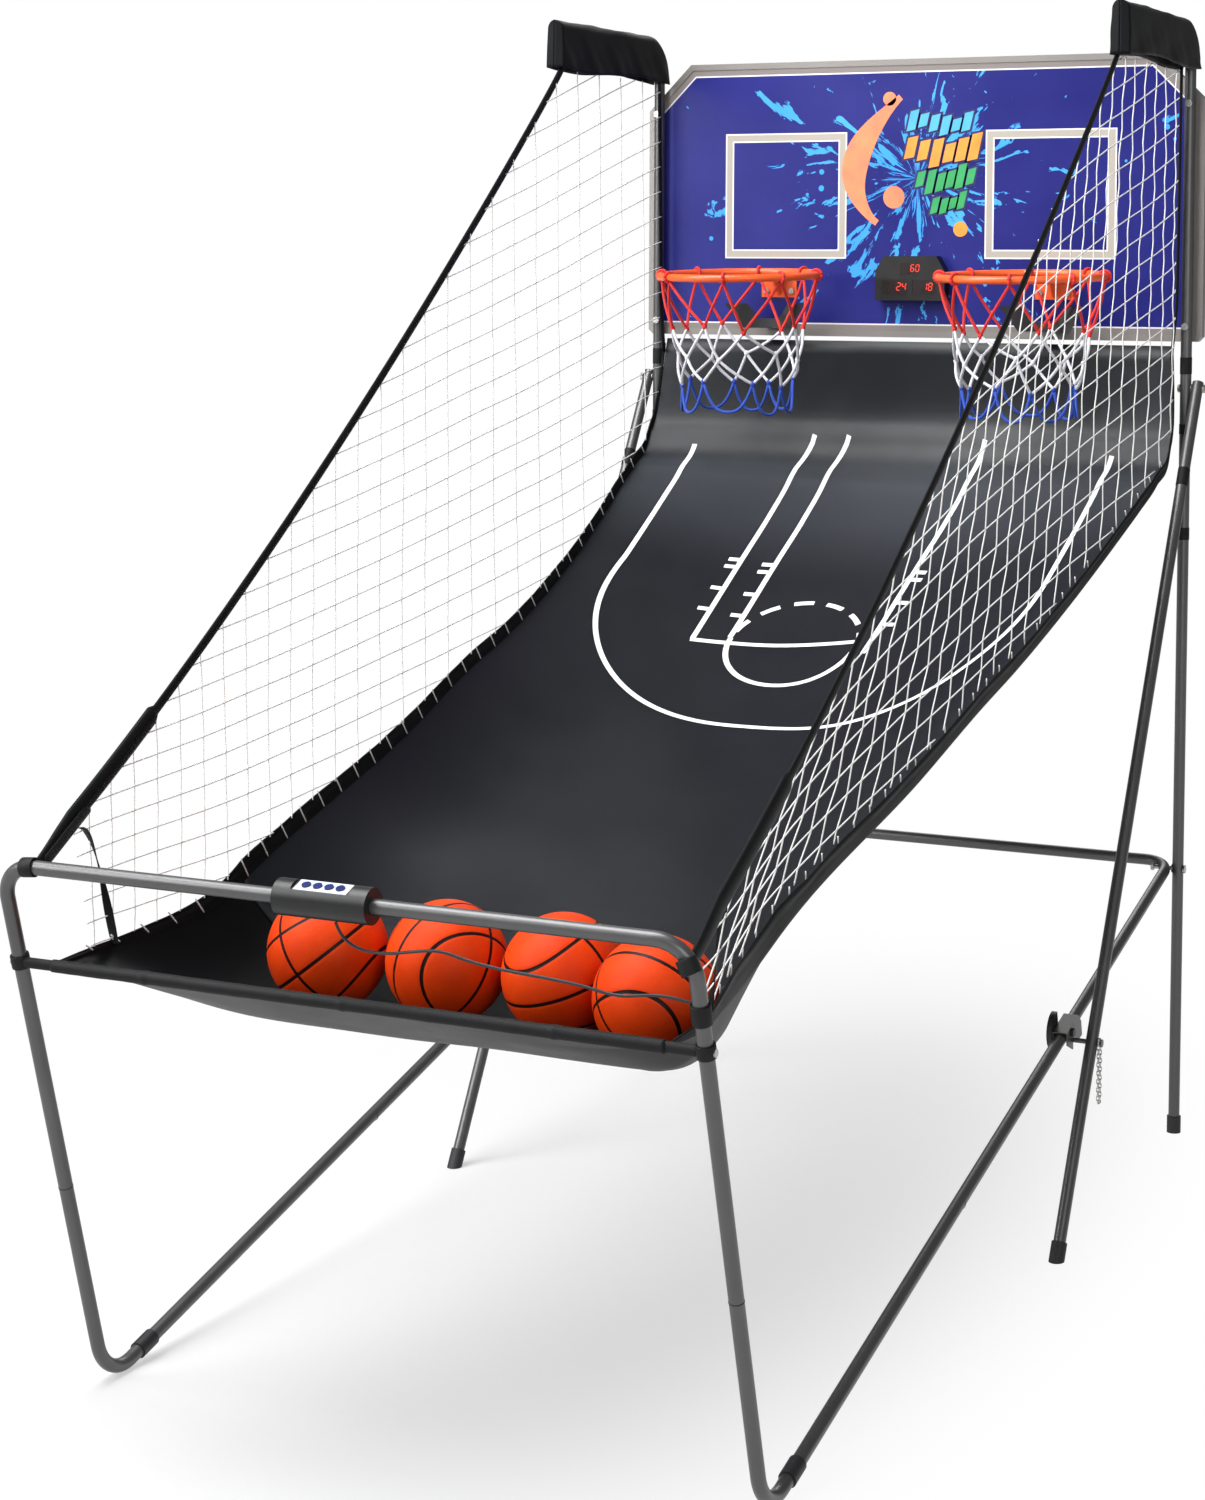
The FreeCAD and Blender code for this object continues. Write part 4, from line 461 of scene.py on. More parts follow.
def pad_plastic():
    """Soft ABS grip with a faint mottle and a pale printed label on its flat."""
    material, tree = new_material("moulded_abs_grip", "#0c0d0f", 0.45)
    place = add_node(tree, "TexCoord", give="Object")
    split = add_node(tree, "SeparateXYZ", {"Vector": place}).node
    tilt, flat_height, label_half = math.radians(20), 0.0204, 0.0385
    forth = add_node(tree, "Math", (split.outputs["Y"], float(BAR_Y)), operation="SUBTRACT")
    rise = add_node(tree, "Math", (split.outputs["Z"], float(BAR_Z)), operation="SUBTRACT")
    part = add_node(tree, "Math", (rise, math.cos(tilt)), operation="MULTIPLY")
    height = add_node(tree, "Math", (forth, -math.sin(tilt), part), operation="MULTIPLY_ADD")
    flat = add_node(tree, "Math", (height, flat_height, 0.0001), operation="COMPARE")
    out = add_node(tree, "Math", (split.outputs["X"],), operation="ABSOLUTE")
    inside = add_node(tree, "Math", (out, label_half), operation="LESS_THAN")
    label = add_node(tree, "Math", (flat, inside), operation="MULTIPLY")
    add_node(tree, "MixRGB", (label, "#0c0d0f", "#c3c8da"), to="Base Color")
    mottle = add_node(tree, "TexNoise", {"Vector": place, "Scale": 60.0, "Detail": 3.0})
    add_node(tree, "Bump", {"Height": mottle, "Distance": 0.0002, "Strength": 0.4}, to="Normal")
    add_node(tree, "MapRange", (mottle, 0.0, 1.0, 0.34, 0.5), to="Roughness")
    return material


def glow(name, colour, strength):
    """A light-emitting diode's red face."""
    material, tree = new_material(name, colour, 0.4, Emission_Color=linear(colour),
                                  Emission_Strength=strength)
    place = add_node(tree, "TexCoord", give="Object")
    grain = add_node(tree, "TexNoise", {"Vector": place, "Scale": 400.0})
    add_node(tree, "MixRGB", (grain, colour, "#ff5a3c"), to="Base Color")
    return material


# ---------------------------------------------------------------- settings

class MachineSettings(bpy.types.PropertyGroup):
    """Sizes that a user of the model would change."""

    thread: FloatProperty(name="Net thread", description="Diameter of the side nets' thread",
                          default=0.0022, unit="LENGTH")
    upright_pitch: FloatProperty(name="Upright pitch", description="Spacing of the nets' upright threads",
                                 default=0.066, unit="LENGTH")
    sloping_pitch: FloatProperty(name="Sloping pitch", description="Spacing of the nets' sloping threads",
                                 default=0.046, unit="LENGTH")
    line_width: FloatProperty(name="Court line", description="Width of the printed court lines",
                              default=0.0095, unit="LENGTH")
    cloth: FloatProperty(name="Cloth", description="Thickness of the ramp's cloth", default=0.0012,
                         unit="LENGTH")
    rope: FloatProperty(name="Hoop cord", description="Diameter of the hoop nets' cord", default=0.0056,
                        unit="LENGTH")
    hoop_loops: IntProperty(name="Hoop loops", description="Loops of the net round each rim", default=8)


def settings():
    """The machine's settings on the scene."""
    return bpy.context.scene.hoop_machine


MATERIALS = {}


def material(name):
    """One of the materials, made by the finishes operator."""
    if name not in MATERIALS:
        raise RuntimeError(f"The finishes haven't been made: {name}")
    return MATERIALS[name]


def dress(piece, body, slot, *replaced):
    """Lets a new piece ride on its body and hides the CAD nodes it stands for. Its slot, the name of its finish,
    is not used.
    """
    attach(piece, body)
    if replaced:
        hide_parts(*replaced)
    return piece


def bend_with_fold(piece, slot, *replaced):
    """Cloth between the rear frame and the front frame: bakes the piece's place into its mesh and hides the CAD
    nodes it stands for. Its slot is not used.
    """
    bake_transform(piece)
    if replaced:
        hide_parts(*replaced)
    return piece


# ---------------------------------------------------------------- cloth shapes

def cloth_rows(y, *columns):
    """The cloth rows' columns, smoothed along the machine."""
    return tuple(smooth_line(y, CLOTH_ROWS[:, 0], CLOTH_ROWS[:, column]) for column in columns)


def hem_at(y):
    """The side hem's height and distance from the middle at a place along the machine."""
    return cloth_rows(y, 1, 2)


def cloth_at(across, y):
    """A point of the cloth from its share of the half width (-1 to 1) and its hem's place along the
    machine. It hangs from the hems: the offset from hem to middle is scaled by one less a power of the
    share, and each ball presses the cloth down to its own sphere."""
    height, half, middle_y, middle_z, power = cloth_rows(y, 1, 2, 3, 4, 5)
    power = power + 9.0 * (across > 0) * np.clip((-0.62 - y) / 0.1, 0, 1) * np.clip((y + 0.95) / 0.1, 0, 1)
    hang = 1 - np.abs(across) ** power
    x = across * half
    loose = np.clip(hang, 0, 1) * np.clip((0.9 - y) / 0.4, 0, 1)
    z = height + (middle_z - height) * hang + wobble(x, y, 0.0018, 0.15) * loose
    along = y + (middle_y - y) * hang
    for ball_x, ball_y, ball_z in BALL_MIDDLES:
        far = (x - ball_x) ** 2 + (along - ball_y) ** 2
        reach = (BALL_RADIUS + 0.002) ** 2
        under = ball_z - np.sqrt(np.maximum(reach - far, 0))
        z = np.where(far < reach, np.minimum(z, under), z)
    return stacked(x, along, z)


def cloth_map(points):
    """A UV map in metres: the distance across, and the run down the sheet's middle column."""
    centre = points[:, points.shape[1] // 2]
    run = np.concatenate([[0], np.cumsum(np.linalg.norm(np.diff(centre, axis=0), axis=1))])
    return stacked(points[..., 0], run[:, None])


def hem_width(y, side):
    """How far the black hem reaches up from the ramp's edge, which differs on the two sides in front."""
    widths = {"left": (0.006, 0.012, 0.020, 0.034, 0.030, 0.024, 0.018),
              "right": (0.006, 0.020, 0.040, 0.048, 0.036, 0.024, 0.018)}[side]
    return np.interp(y, (-1.0, -0.88, -0.76, -0.60, -0.50, 0.9, 1.03), widths)


def net_edge(y, side):
    """The height of the net's front edge line, whose webbing runs from the bar to the sleeve. On the
    right it ends lower, on the bar's bend. It sags under the net's pull: the sag times the sine of a
    bent share of its length, to the power 0.75."""
    drop = 0.002 if side == "left" else 0.024
    start, end = (EDGE_FOOT_Y, BAR_Z - drop), (EDGE_HEAD_Y, NET_TOP_Z + 0.012)
    share = np.clip((y - start[0]) / (end[0] - start[0]), 0, 1)
    sag = EDGE_SAG * np.sin(np.pi * share ** 0.85) ** 0.75
    return start[1] + (end[1] - start[1]) * share - sag


def net_sheet(y, part, side="left"):
    """A side net's plane: a ruled surface from the hem to the front edge line and the sleeve."""
    low, half = hem_at(y)
    low = low + hem_width(y, side) - 0.003
    top = np.where(y < ARM_FRONT_Y + 0.012, net_edge(y, side), NET_TOP_Z + 0.006)
    top = np.maximum(np.minimum(top, NET_TOP_Z + 0.006), low + 0.002)
    out = np.interp(y, [-1.0, 0.6, 1.02], [0.480, 0.5110, 0.5110])
    return half + (out - half) * part, low + (top - low) * part, top


class HOOP_OT_finishes(bpy.types.Operator):
    """Make the materials and give them to the CAD nodes that stay in sight"""

    bl_idname = "hoop.finishes"
    bl_label = "Finishes"

    def execute(self, context):
        made = {
            "paint": painted_steel("powder_coated_steel", "#535354", "#656566", 0.36, 0.65),
            "rubber": moulded_plastic("moulded_rubber_black", "#17171a", "#26262a", 0.62, 500.0),
            "clip": moulded_plastic("moulded_nylon_black", "#141417", "#232327", 0.48),
            "zinc": zinc_plate("zinc_plated_steel", "#8e8e8b", "#c2c1bc"),
            "dull": zinc_plate("passivated_steel_plate", "#4a4a49", "#6a6a68", 0.42),
            "trim": painted_steel("painted_edge_trim", "#7d7976", "#8a8682", 0.42, 0.25),
            "rim": painted_steel("enamelled_steel_orange", "#ea4f1d", "#ff6a2c", 0.3, 0.0),
            "abs": moulded_plastic("moulded_abs_black", "#111214", "#1b1c20", 0.45),
            "circuit": moulded_plastic("glass_epoxy_green", "#174d2c", "#1f6639", 0.4),
            # The ramp's cloth has a painted sheen: a paler band where it bends up to the board.
            "cloth": painted_knee_sheen(woven_cloth("coated_oxford_slate", "#080b10", "#0f1319", 0.0016, 0.40, 0.0,
                                           0.28), "#33373c"),
            "trough": woven_cloth("coated_oxford_black", "#040405", "#08090a", 0.0016, 0.42, 0.0, 0.10),
            "sleeve": woven_cloth("oxford_black", "#0a0b0c", "#17181a", 0.0014, 0.55, 0.02),
            "webbing": webbing("polypropylene_webbing", "#08080a", "#17181a"),
            "thread": twisted_cord("nylon_thread_white", "#f0f0ee", "#dcdcda"),
            "red": twisted_cord("polyester_cord_red", "#ee2c25", "#b81a14"),
            "white": twisted_cord("polyester_cord_white", "#eeeef2", "#b9b9c2"),
            "blue": twisted_cord("polyester_cord_blue", "#2154cc", "#153489"),
            "line": webbing("screen_print_white", "#e4e5e6", "#f2f3f4"),
            "ball": basketball_rubber(),
            "board": printed_board(),
            "grip": pad_plastic(),
            "button": moulded_plastic("glossy_abs_navy", "#1a2450", "#243070", 0.18, 300.0),
            "cable": moulded_plastic("soft_pvc_black", "#191a1c", "#2a2b2e", 0.38, 700.0),
            "chain": zinc_plate("bright_steel_wire", "#9a9a98", "#cfcecb", 0.25),
            "led": glow("light_emitting_diode_red", "#e0200e", 0.7),
            "case": moulded_plastic("moulded_abs_satin", "#040405", "#08090a", 0.34),
            "pane": moulded_plastic("smoked_acrylic_red", "#140405", "#1c0607", 0.28),
        }
        inks = {"orange": ("#f07a2a", "#f7a23c"), "green": ("#1f8a4c", "#37a862"),
                "rose": ("#ee6a5a", "#f59a5c"), "cyan": ("#3b8fb4", "#58bdf2"),
                "navy": ("#15164f", "#1d1f63")}
        made.update({f"print_{ink}": moulded_plastic(f"screen_ink_{ink}", *colours, 0.35, 40.0)
                     for ink, colours in inks.items()})
        MATERIALS.update(made)
        wanted = {
            "frame_paint": "paint", "cap_rubber": "rubber", "clip_plastic": "clip", "bolt_zinc": "zinc",
            "board_print": "board", "board_trim": "trim", "rim_paint": "rim", "sensor_plastic": "abs",
            "display_plastic": "case", "circuit_board": "circuit", "rod_steel": "zinc",
            "pad_plastic": "grip", "button_plastic": "button", "lock_zinc": "dull",
            "knob_plastic": "clip", "chain_steel": "chain", "cable_jacket": "cable",
            "ball_rubber": "ball", "hoop_net_cord": "white", "sleeve_cloth": "sleeve",
            "net_mesh": "thread", "ramp_cloth": "cloth",
        }
        slots = {part["node"]: part["material_slot"] for part in frame["record"]["subparts"]}
        for name, node in frame["nodes"].items():
            node.data.materials.clear()
            node.data.materials.append(MATERIALS[wanted[slots[name]]])
        return {"FINISHED"}


class HOOP_OT_camera(bpy.types.Operator):
    """Set the camera at a standing player's right, looking at the machine's front corner"""

    bl_idname = "hoop.camera"
    bl_label = "Camera"

    def execute(self, context):
        yaw, pitch, roll = -0.4545, 0.0571, 0.0049
        ahead = Vector((math.sin(yaw) * math.cos(pitch), math.cos(yaw) * math.cos(pitch),
                        -math.sin(pitch)))
        level = Vector((math.cos(yaw), -math.sin(yaw), 0))
        upward = level.cross(ahead)
        right = math.cos(roll) * level + math.sin(roll) * upward
        top = math.cos(roll) * upward - math.sin(roll) * level
        data = bpy.data.cameras.new("camera")
        data.lens = 70.716
        data.sensor_width = 36
        data.shift_y = -0.2076
        data.clip_end = 100
        camera = bpy.data.objects.new("camera", data)
        turn = Matrix((right, top, -ahead)).transposed().to_4x4()
        camera.matrix_world = Matrix.Translation((1.9019, -4.1664, 1.5609)) @ turn
        context.scene.collection.objects.link(camera)
        context.scene.camera = camera
        return {"FINISHED"}


class HOOP_OT_cable(bpy.types.Operator):
    """Lay the control cable from the pad's underside to the strap on the right leg"""

    bl_idname = "hoop.cable"
    bl_label = "Control cable"

    def execute(self, context):
        route = [(10, -1046, 748), (16, -1046, 731), (42, -1045, 716), (80, -1044, 714),
                 (118, -1043, 721), (156, -1042, 727), (196, -1041, 717), (245, -1040, 711),
                 (300, -1039, 708), (349, -1038, 704), (397, -1037, 695), (436, -1036, 702),
                 (468, -1034, 702), (490.2, -1031, 697)]
        curve = bpy.data.curves.new("control_cable_cord", "CURVE")
        curve.dimensions = "3D"
        spline = curve.splines.new("NURBS")
        spline.points.add(len(route) - 1)
        for point, (x, y, z) in zip(spline.points, route):
            point.co = (x / 1000, y / 1000, z / 1000, 1)
        spline.order_u = 3
        spline.use_endpoint_u = True
        spline.resolution_u = 10
        curve.bevel_depth = 0.002
        curve.bevel_resolution = 3
        curve.use_fill_caps = True
        curve.materials.append(material("cable"))
        cable = bpy.data.objects.new("control_cable_cord", curve)
        context.scene.collection.objects.link(cable)
        dress(cable, "front_frame", "cable_jacket", "control_cable")
        return {"FINISHED"}


class HOOP_OT_ramp(bpy.types.Operator):
    """Stretch the cloth ramp from the board down to the trough, with its printed court lines"""

    bl_idname = "hoop.ramp"
    bl_label = "Ramp"

    def execute(self, context):
        y = np.concatenate([np.linspace(1.030, 0.80, 44), np.linspace(0.79, RAMP_FRONT, 90)])[:, None]
        across = np.sin(np.linspace(-np.pi / 2, np.pi / 2, 97))[None, :]
        points = cloth_at(across, y)
        ramp = new_piece("ramp_cloth", points, grid_faces(*points.shape[:2])[:, ::-1],
                         material("cloth"), cloth_map(points))
        thicken(ramp, settings().cloth, -1)
        bend_with_fold(ramp, "ramp_cloth", "ramp_sheet")
        self.court_lines()
        return {"FINISHED"}

    def strips(self, runs):
        """Flat ribbons along runs of points on the ramp, each as wide as a court line: every point's
        place moved half a width to both sides, square to the run, and lifted just off the cloth."""
        points, faces, start = [], [], 0
        for run in runs:
            run = np.asarray(run, dtype=float)
            along = unit(np.gradient(run, axis=0))
            side = stacked(-along[:, 1], along[:, 0]) * settings().line_width / 2
            share = np.linspace(-1, 1, 3)[None, :, None]
            flat = run[:, None] + side[:, None] * share
            place = cloth_at(flat[..., 0] / hem_at(flat[..., 1])[1], flat[..., 1])
            points.append((place + np.array([0, -0.0004, 0.0007])).reshape(-1, 3))
            faces.append(grid_faces(len(run), 3) + start)
            start += len(run) * 3
        return np.concatenate(points), np.concatenate(faces)

    def court_lines(self):
        """The lines of half a court: an outer U, a key's side lines, a free-throw line, a circle whose
        far half is dashed, and hash marks outside the key."""
        share = np.linspace(0, 1, 60)[:, None]
        line = lambda a, b: np.array(a) + (np.array(b) - np.array(a)) * share
        angle = np.linspace(np.pi, 2 * np.pi, 120)
        bow = stacked(0.398 * np.sign(np.cos(angle)) * np.abs(np.cos(angle)) ** 0.83,
                      0.640 - 0.381 * np.abs(np.sin(angle)) ** 0.83)
        runs = [np.concatenate([line((-0.420, 0.969), bow[0])[:-1], bow,
                                line(bow[-1], (0.400, 0.971))[1:]])]
        keys = ((-0.200, -0.191, -1, 0.478), (-0.131, -0.129, -1, 0.500), (0.148, 0.124, 1, 0.480))
        for far, near, sign, foot in keys:
            runs.append(line((far, 0.981), (near, foot)))
            for place in (0.699, 0.679, 0.618, 0.560):
                inner = near + (far - near) * (place - foot) / (0.981 - foot)
                runs.append(line((inner, place), (inner + sign * 0.026, place - 0.003))[::6])
        turns = (0.004, 0.017) + (0.0,) * 4 + (0.016,) + (0.0,) * 4 + (0.006,) + (0.0,) * 4
        for run, turn in zip(runs, turns):
            run[:, 0] += turn * np.clip((run[:, 1] - 0.930) / 0.047, 0, 1) ** 1.3
        runs.append(line((-0.194, 0.476), (0.104, 0.515)))
        ring = lambda a, b: (np.array((-0.012, 0.499))
                             + 0.115 * stacked(*(wave(np.linspace(a, b, 60)) for wave in (np.cos, np.sin))))
        runs.append(ring(np.pi, 2 * np.pi))
        for dash in range(6):
            start = np.pi * (dash + 0.10) / 6
            runs.append(ring(start, start + np.pi * 0.62 / 6)[::4])
        points, faces = self.strips(runs)
        lines = new_piece("court_lines", points, faces[:, ::-1], material("line"))
        rise = sum(polygon.normal.z for polygon in lines.data.polygons)
        if rise < 0:
            lines.data.flip_normals()
        bend_with_fold(lines, "ramp_cloth")


class HOOP_OT_trough(bpy.types.Operator):
    """Hang the cloth trough from its rod and side hems, with the hem round the rod"""

    bl_idname = "hoop.trough"
    bl_label = "Ball trough"

    def execute(self, context):
        y = np.linspace(-1.004, RAMP_FRONT + 0.004, 110)[:, None]
        across = np.sin(np.linspace(-np.pi / 2, np.pi / 2, 181))[None, :]
        points = cloth_at(across, y)
        points[..., 2] -= TROUGH_DROP
        cloth = new_piece("trough_cloth", points, grid_faces(*points.shape[:2]), material("trough"),
                          cloth_map(points))
        thicken(cloth, settings().cloth, -1)
        dress(cloth, "front_frame", "ramp_cloth", "ball_trough")

        places = np.linspace(-0.448, 0.448, 240)
        joins = np.abs(places[:, None] - np.array([-0.30, 0.0, 0.30])).min(axis=1)
        radius = 0.0088 + 0.0012 * np.exp(-(joins / 0.004) ** 2) + wobble(places, places, 0.0003, 0.03)
        path = stacked(places, ROD_Y, ROD_Z + wobble(places, places, 0.0004, 0.2))
        dress(bar_piece("rod_hem", path[None], radius[None], 14, (0, 0, 1), "webbing"),
              "front_frame", "ramp_cloth")
        for side, sign in SIDES:
            share = np.linspace(0, 1, 30)[:, None]
            path = np.array([sign * 0.446, ROD_Y, ROD_Z]) + np.array([sign * 0.046, -0.004, 0.001]) * share
            dress(bar_piece(f"rod_strap_{side}", path[None], 0.0075, 12, (0, 1, 0), "webbing", 0.80),
                  "front_frame", "ramp_cloth")
            self.end_tab(side, sign)
        return {"FINISHED"}

    def end_tab(self, side, sign):
        """Webbing round the front leg where the rod's hem ends, and on the right the wider strap above
        it that holds the cable: oval loops round the tube."""
        lean = math.radians(16.26)
        axis = np.array([0, -math.sin(lean), math.cos(lean)])
        for order, (height, wide) in enumerate(((ROD_Z + 0.002, 0.018), (0.684, 0.026))):
            if order and side == "left":
                continue
            reach = (height - BAR_Z) / axis[2]
            centre = np.array([sign * 0.501, BAR_Y, BAR_Z]) + axis * reach
            dress(strap_round(f"leg_strap_{order + 1}_{side}", centre, axis, TUBE_RADIUS + 0.0018, wide,
                              0.0024), "front_frame", "sleeve_cloth")


class HOOP_OT_side_nets(bpy.types.Operator):
    """Knot the two side nets and bind their edges"""

    bl_idname = "hoop.side_nets"
    bl_label = "Side nets"

    def execute(self, context):
        for side, sign in SIDES:
            self.threads(side, sign)
            self.hem_band(side, sign)
            self.front_edge(side, sign)
            self.rear_edge(side, sign)
            self.tube_seams(side)
        return {"FINISHED"}

    def threads(self, side, sign):
        """Two families of thread on the net's plane: upright ones that step aside at every knot, and
        sloping straight ones. Each is a fine closed tube. On the right the uprights stand evenly. On the
        left their spacing grows towards the back, so that the places of foot and head follow a square of
        the thread's order. The slope of a sloping thread grows with its height by the fan."""
        radius = settings().thread / 2
        part = np.linspace(0, 1, 90)[None, :]
        if side == "left":
            order = np.arange(26)[:, None]
            foot = -0.916 + 0.0355 * order + 0.00158 * order ** 2
            head = -0.884 + 0.0520 * order + 0.00083 * order ** 2
            pitch, slope, fan, step = 0.0388, 0.12, 0.24, 0.0008
        else:
            order = np.arange(30)[:, None]
            foot = -0.925 + settings().upright_pitch * order
            head = foot + 0.05 * np.clip((0.7 - foot) / 0.7, 0, 1)
            pitch, slope, fan, step = settings().sloping_pitch, 0.22, 0.06, 0.0050
        y = np.clip(foot + (head - foot) * part, -0.985, NET_BACK_Y)
        x, z = net_sheet(y, part, side)[:2]
        knot = (z - slope * y) / pitch
        y = y + step * (2 * np.abs(((knot + order) / 2) % 1 - 0.5) * 2 - 1)
        y = y + wobble(z, y, 0.0016, 0.3, sign)
        x = x + wobble(y, z, 0.0015, 0.15)
        uprights = stacked(sign * x, y, z)

        heights = np.arange(0.46, 2.3, pitch)
        dense = np.linspace(-0.925 if side == "left" else -0.945, NET_BACK_Y, 500)
        rise = (slope + fan * (heights - 0.97))[:, None]
        level = heights[:, None] + rise * dense
        _, low, top = net_sheet(dense, 0.0, side)
        inside = (level > low + 0.002) & (level < top)
        keep = inside.sum(axis=1) > 6
        first = dense[inside.argmax(axis=1)][keep]
        last = dense[dense.size - 1 - inside[:, ::-1].argmax(axis=1)][keep]
        share = np.linspace(0, 1, 80)[None, :]
        y = first[:, None] + (last - first)[:, None] * share
        z = heights[keep][:, None] + rise[keep] * y
        _, low, top = net_sheet(y, 0.0, side)
        part = np.clip((z - low) / np.maximum(top - low, 0.01), 0, 1)
        x = net_sheet(y, part, side)[0]
        z = z + wobble(y, z, 0.0015, 0.25, sign)
        slopes = stacked(sign * (x + wobble(y, z, 0.0015, 0.15)), y, z)
        shapes = [tubes(paths, radius, 5, (1, 0, 0)) for paths in (uprights, slopes)]
        net = new_piece(f"net_threads_{side}", *joined(*shapes), material("thread"))
        bend_with_fold(net, "net_mesh", f"side_net_{side}")

    def hem_band(self, side, sign):
        """The black hem between ramp and net: a strip carried along the side hem, rising from the ramp's
        edge up the net's plane, rounded over at its top, and the cord lacing that crosses it."""
        y = np.linspace(1.026, -1.000, 260)[:, None]
        z, half = hem_at(y)
        up = np.linspace(0, 1, 9)[None, :]
        width = hem_width(y, side)
        lean = net_sheet(y, 0.10)[0] - half
        x = half + 0.0010 + lean * up * 0.6 + 0.0016 * np.sin(up * np.pi * 3) * (up > 0.5)
        x = x + wobble(y, up, 0.0014, 0.05, sign) * up
        points = stacked(sign * x, y, z - 0.004 + width * up)
        uv = stacked(width * up, y)
        faces = grid_faces(*points.shape[:2])
        band = new_piece(f"side_hem_{side}", points, faces if sign > 0 else faces[:, ::-1],
                         material("sleeve"), uv)
        thicken(band, 0.0022)
        bend_with_fold(band, "sleeve_cloth")

        ticks = np.arange(-0.93, 0.990, 0.055)[:, None]
        part = np.linspace(0, 1, 8)[None, :]
        ty = ticks - 0.014 * (part - 0.5)
        tz, thalf = hem_at(ty)
        lean = (net_sheet(ty, 0.10)[0] - thalf) * 0.6 * part
        inner = stacked(sign * (thalf + lean - 0.0024), ty, tz + 0.004 + hem_width(ty, side) * part)
        bend_with_fold(bar_piece(f"hem_lacing_{side}", inner, 0.0011, 6, (1, 0, 0), "thread"), "net_mesh")

    def front_edge(self, side, sign):
        """The webbing from the sleeve's front corner to the bar, which thickens into a padded sleeve over
        its lowest stretch, and the loop that holds it round the bar."""
        share = np.linspace(0, 1, 160)[:, None]
        y = EDGE_HEAD_Y + (EDGE_FOOT_Y - EDGE_HEAD_Y) * share
        ends = {"left": (0.458, 0.476, 0.515), "right": (0.492, 0.483, 0.515)}[side]
        path = stacked(sign * np.interp(y, (-1.035, -0.93, 0.61), ends), y, net_edge(y, side))[:, 0]
        wide = np.interp(share[:, 0], [0, 0.812, 0.815, 0.96, 1],
                         [0.0078, 0.0082, 0.0150, 0.0140, 0.0100])
        edge = bar_piece(f"front_webbing_{side}", path[None], wide[None], 12, (1, 0, 0), "sleeve", 0.42,
                         stacked(np.linspace(0, 0.06, 12), share * 2))
        bend_with_fold(edge, "sleeve_cloth")
        turn = math.radians(5 if side == "left" else 64)
        axis = np.array([sign * math.cos(turn), 0, -math.sin(turn)])
        centre = np.array([sign * (0.451 + 0.050 * math.sin(turn)), BAR_Y,
                           BAR_Z - 0.050 * (1 - math.cos(turn))])
        loop = strap_round(f"bar_loop_{side}", centre, axis, TUBE_RADIUS + 0.0019, 0.020, 0.0026,
                           first=(0.0, 1.0, 0.0))
        dress(loop, "front_frame", "sleeve_cloth")
        self.corner_strap(side, sign)

    def corner_strap(self, side, sign):
        """The loose webbing inside the net's front corner: a ribbon from the padded edge that turns over
        on itself as it drops to the trough's hem."""
        share = np.linspace(0, 1, 70)[:, None]
        start, end = np.array([sign * 0.474, -0.912, 0.801]), np.array([sign * 0.4435, -0.877, 0.636])
        path = start + (end - start) * share
        path = path + np.array([0, 0.014, 0.0]) * np.sin(np.pi * share ** 0.5)
        twist = np.pi * (0.5 + share[:, 0])
        reference = stacked(np.cos(twist) * sign, np.sin(twist), 0.15 * np.sin(twist))
        strap = bar_piece(f"corner_strap_{side}", path[None], 0.0062, 10, reference[None], "webbing", 0.16)
        dress(strap, "front_frame", "sleeve_cloth")
        if side == "right":
            return
        start, end = np.array([sign * 0.476, -0.890, 0.826]), np.array([sign * 0.432, BAR_Y + 0.006, 0.783])
        tab = bar_piece(f"edge_tab_{side}", (start + (end - start) * share)[None], 0.0085, 10, (1, 0, 0),
                        "sleeve", 0.2)
        dress(tab, "front_frame", "sleeve_cloth")

    def tube_seams(self, side):
        """The thin dark lines where a tube's end slips over the next one, on the leg and the side tube."""
        for node, upper, lean in (("front_leg", -1, LEG_LEAN), ("side_tube", 1, SIDE_TUBE_LEAN)):
            low, high = box(f"{node}_{side}")
            axis = np.array([0, upper * math.sin(lean), math.cos(lean)])
            inset = TUBE_RADIUS * abs(axis[1])
            end = ((low[0] + high[0]) / 2, high[1] - TUBE_RADIUS * abs(axis[2]),
                   high[2] - inset if upper > 0 else low[2] + inset)
            band = strap_round(f"{node}_seam_{side}", end, axis, TUBE_RADIUS + 0.0001, 0.0014, 0.0006,
                               "rubber")
            dress(band, "front_frame", "cap_rubber")

    def rear_edge(self, side, sign):
        """The webbing up the pole's front and the loops that tie it to the pole."""
        z = np.linspace(1.405, NET_TOP_Z + 0.012, 60)
        path = stacked(sign * np.interp(z, [1.4, 1.5, 1.9], [0.500, 0.5085, 0.5115]),
                       1.019 + 0.002 * np.sin(z * 9), z)
        edge = bar_piece(f"rear_webbing_{side}", path[None], 0.0075, 10, (1, 0, 0), "webbing", 0.3)
        dress(edge, "rear_frame", "sleeve_cloth")
        for order, (height, wide) in enumerate(((1.395, 0.030), (1.281, 0.018), (1.093, 0.022))):
            band = strap_round(f"pole_strap_{order + 1}_{side}", (sign * POLE_X, POLE_Y, height), (0, 0, 1),
                               STRAP_RADIUS, wide, STRAP_DEPTH)
            dress(band, "rear_frame", "sleeve_cloth")
        lean = math.radians(29.82)
        axis = np.array([0, math.sin(lean), math.cos(lean)])
        foot = np.array(JOINTS[f"prop_{side}_fold"]["pos_m"])
        centre = foot - axis * (foot[2] - 1.20) / axis[2]
        band = strap_round(f"prop_strap_{side}", centre, axis, STRAP_RADIUS, 0.034, STRAP_DEPTH)
        dress(band, f"prop_{side}", "sleeve_cloth")


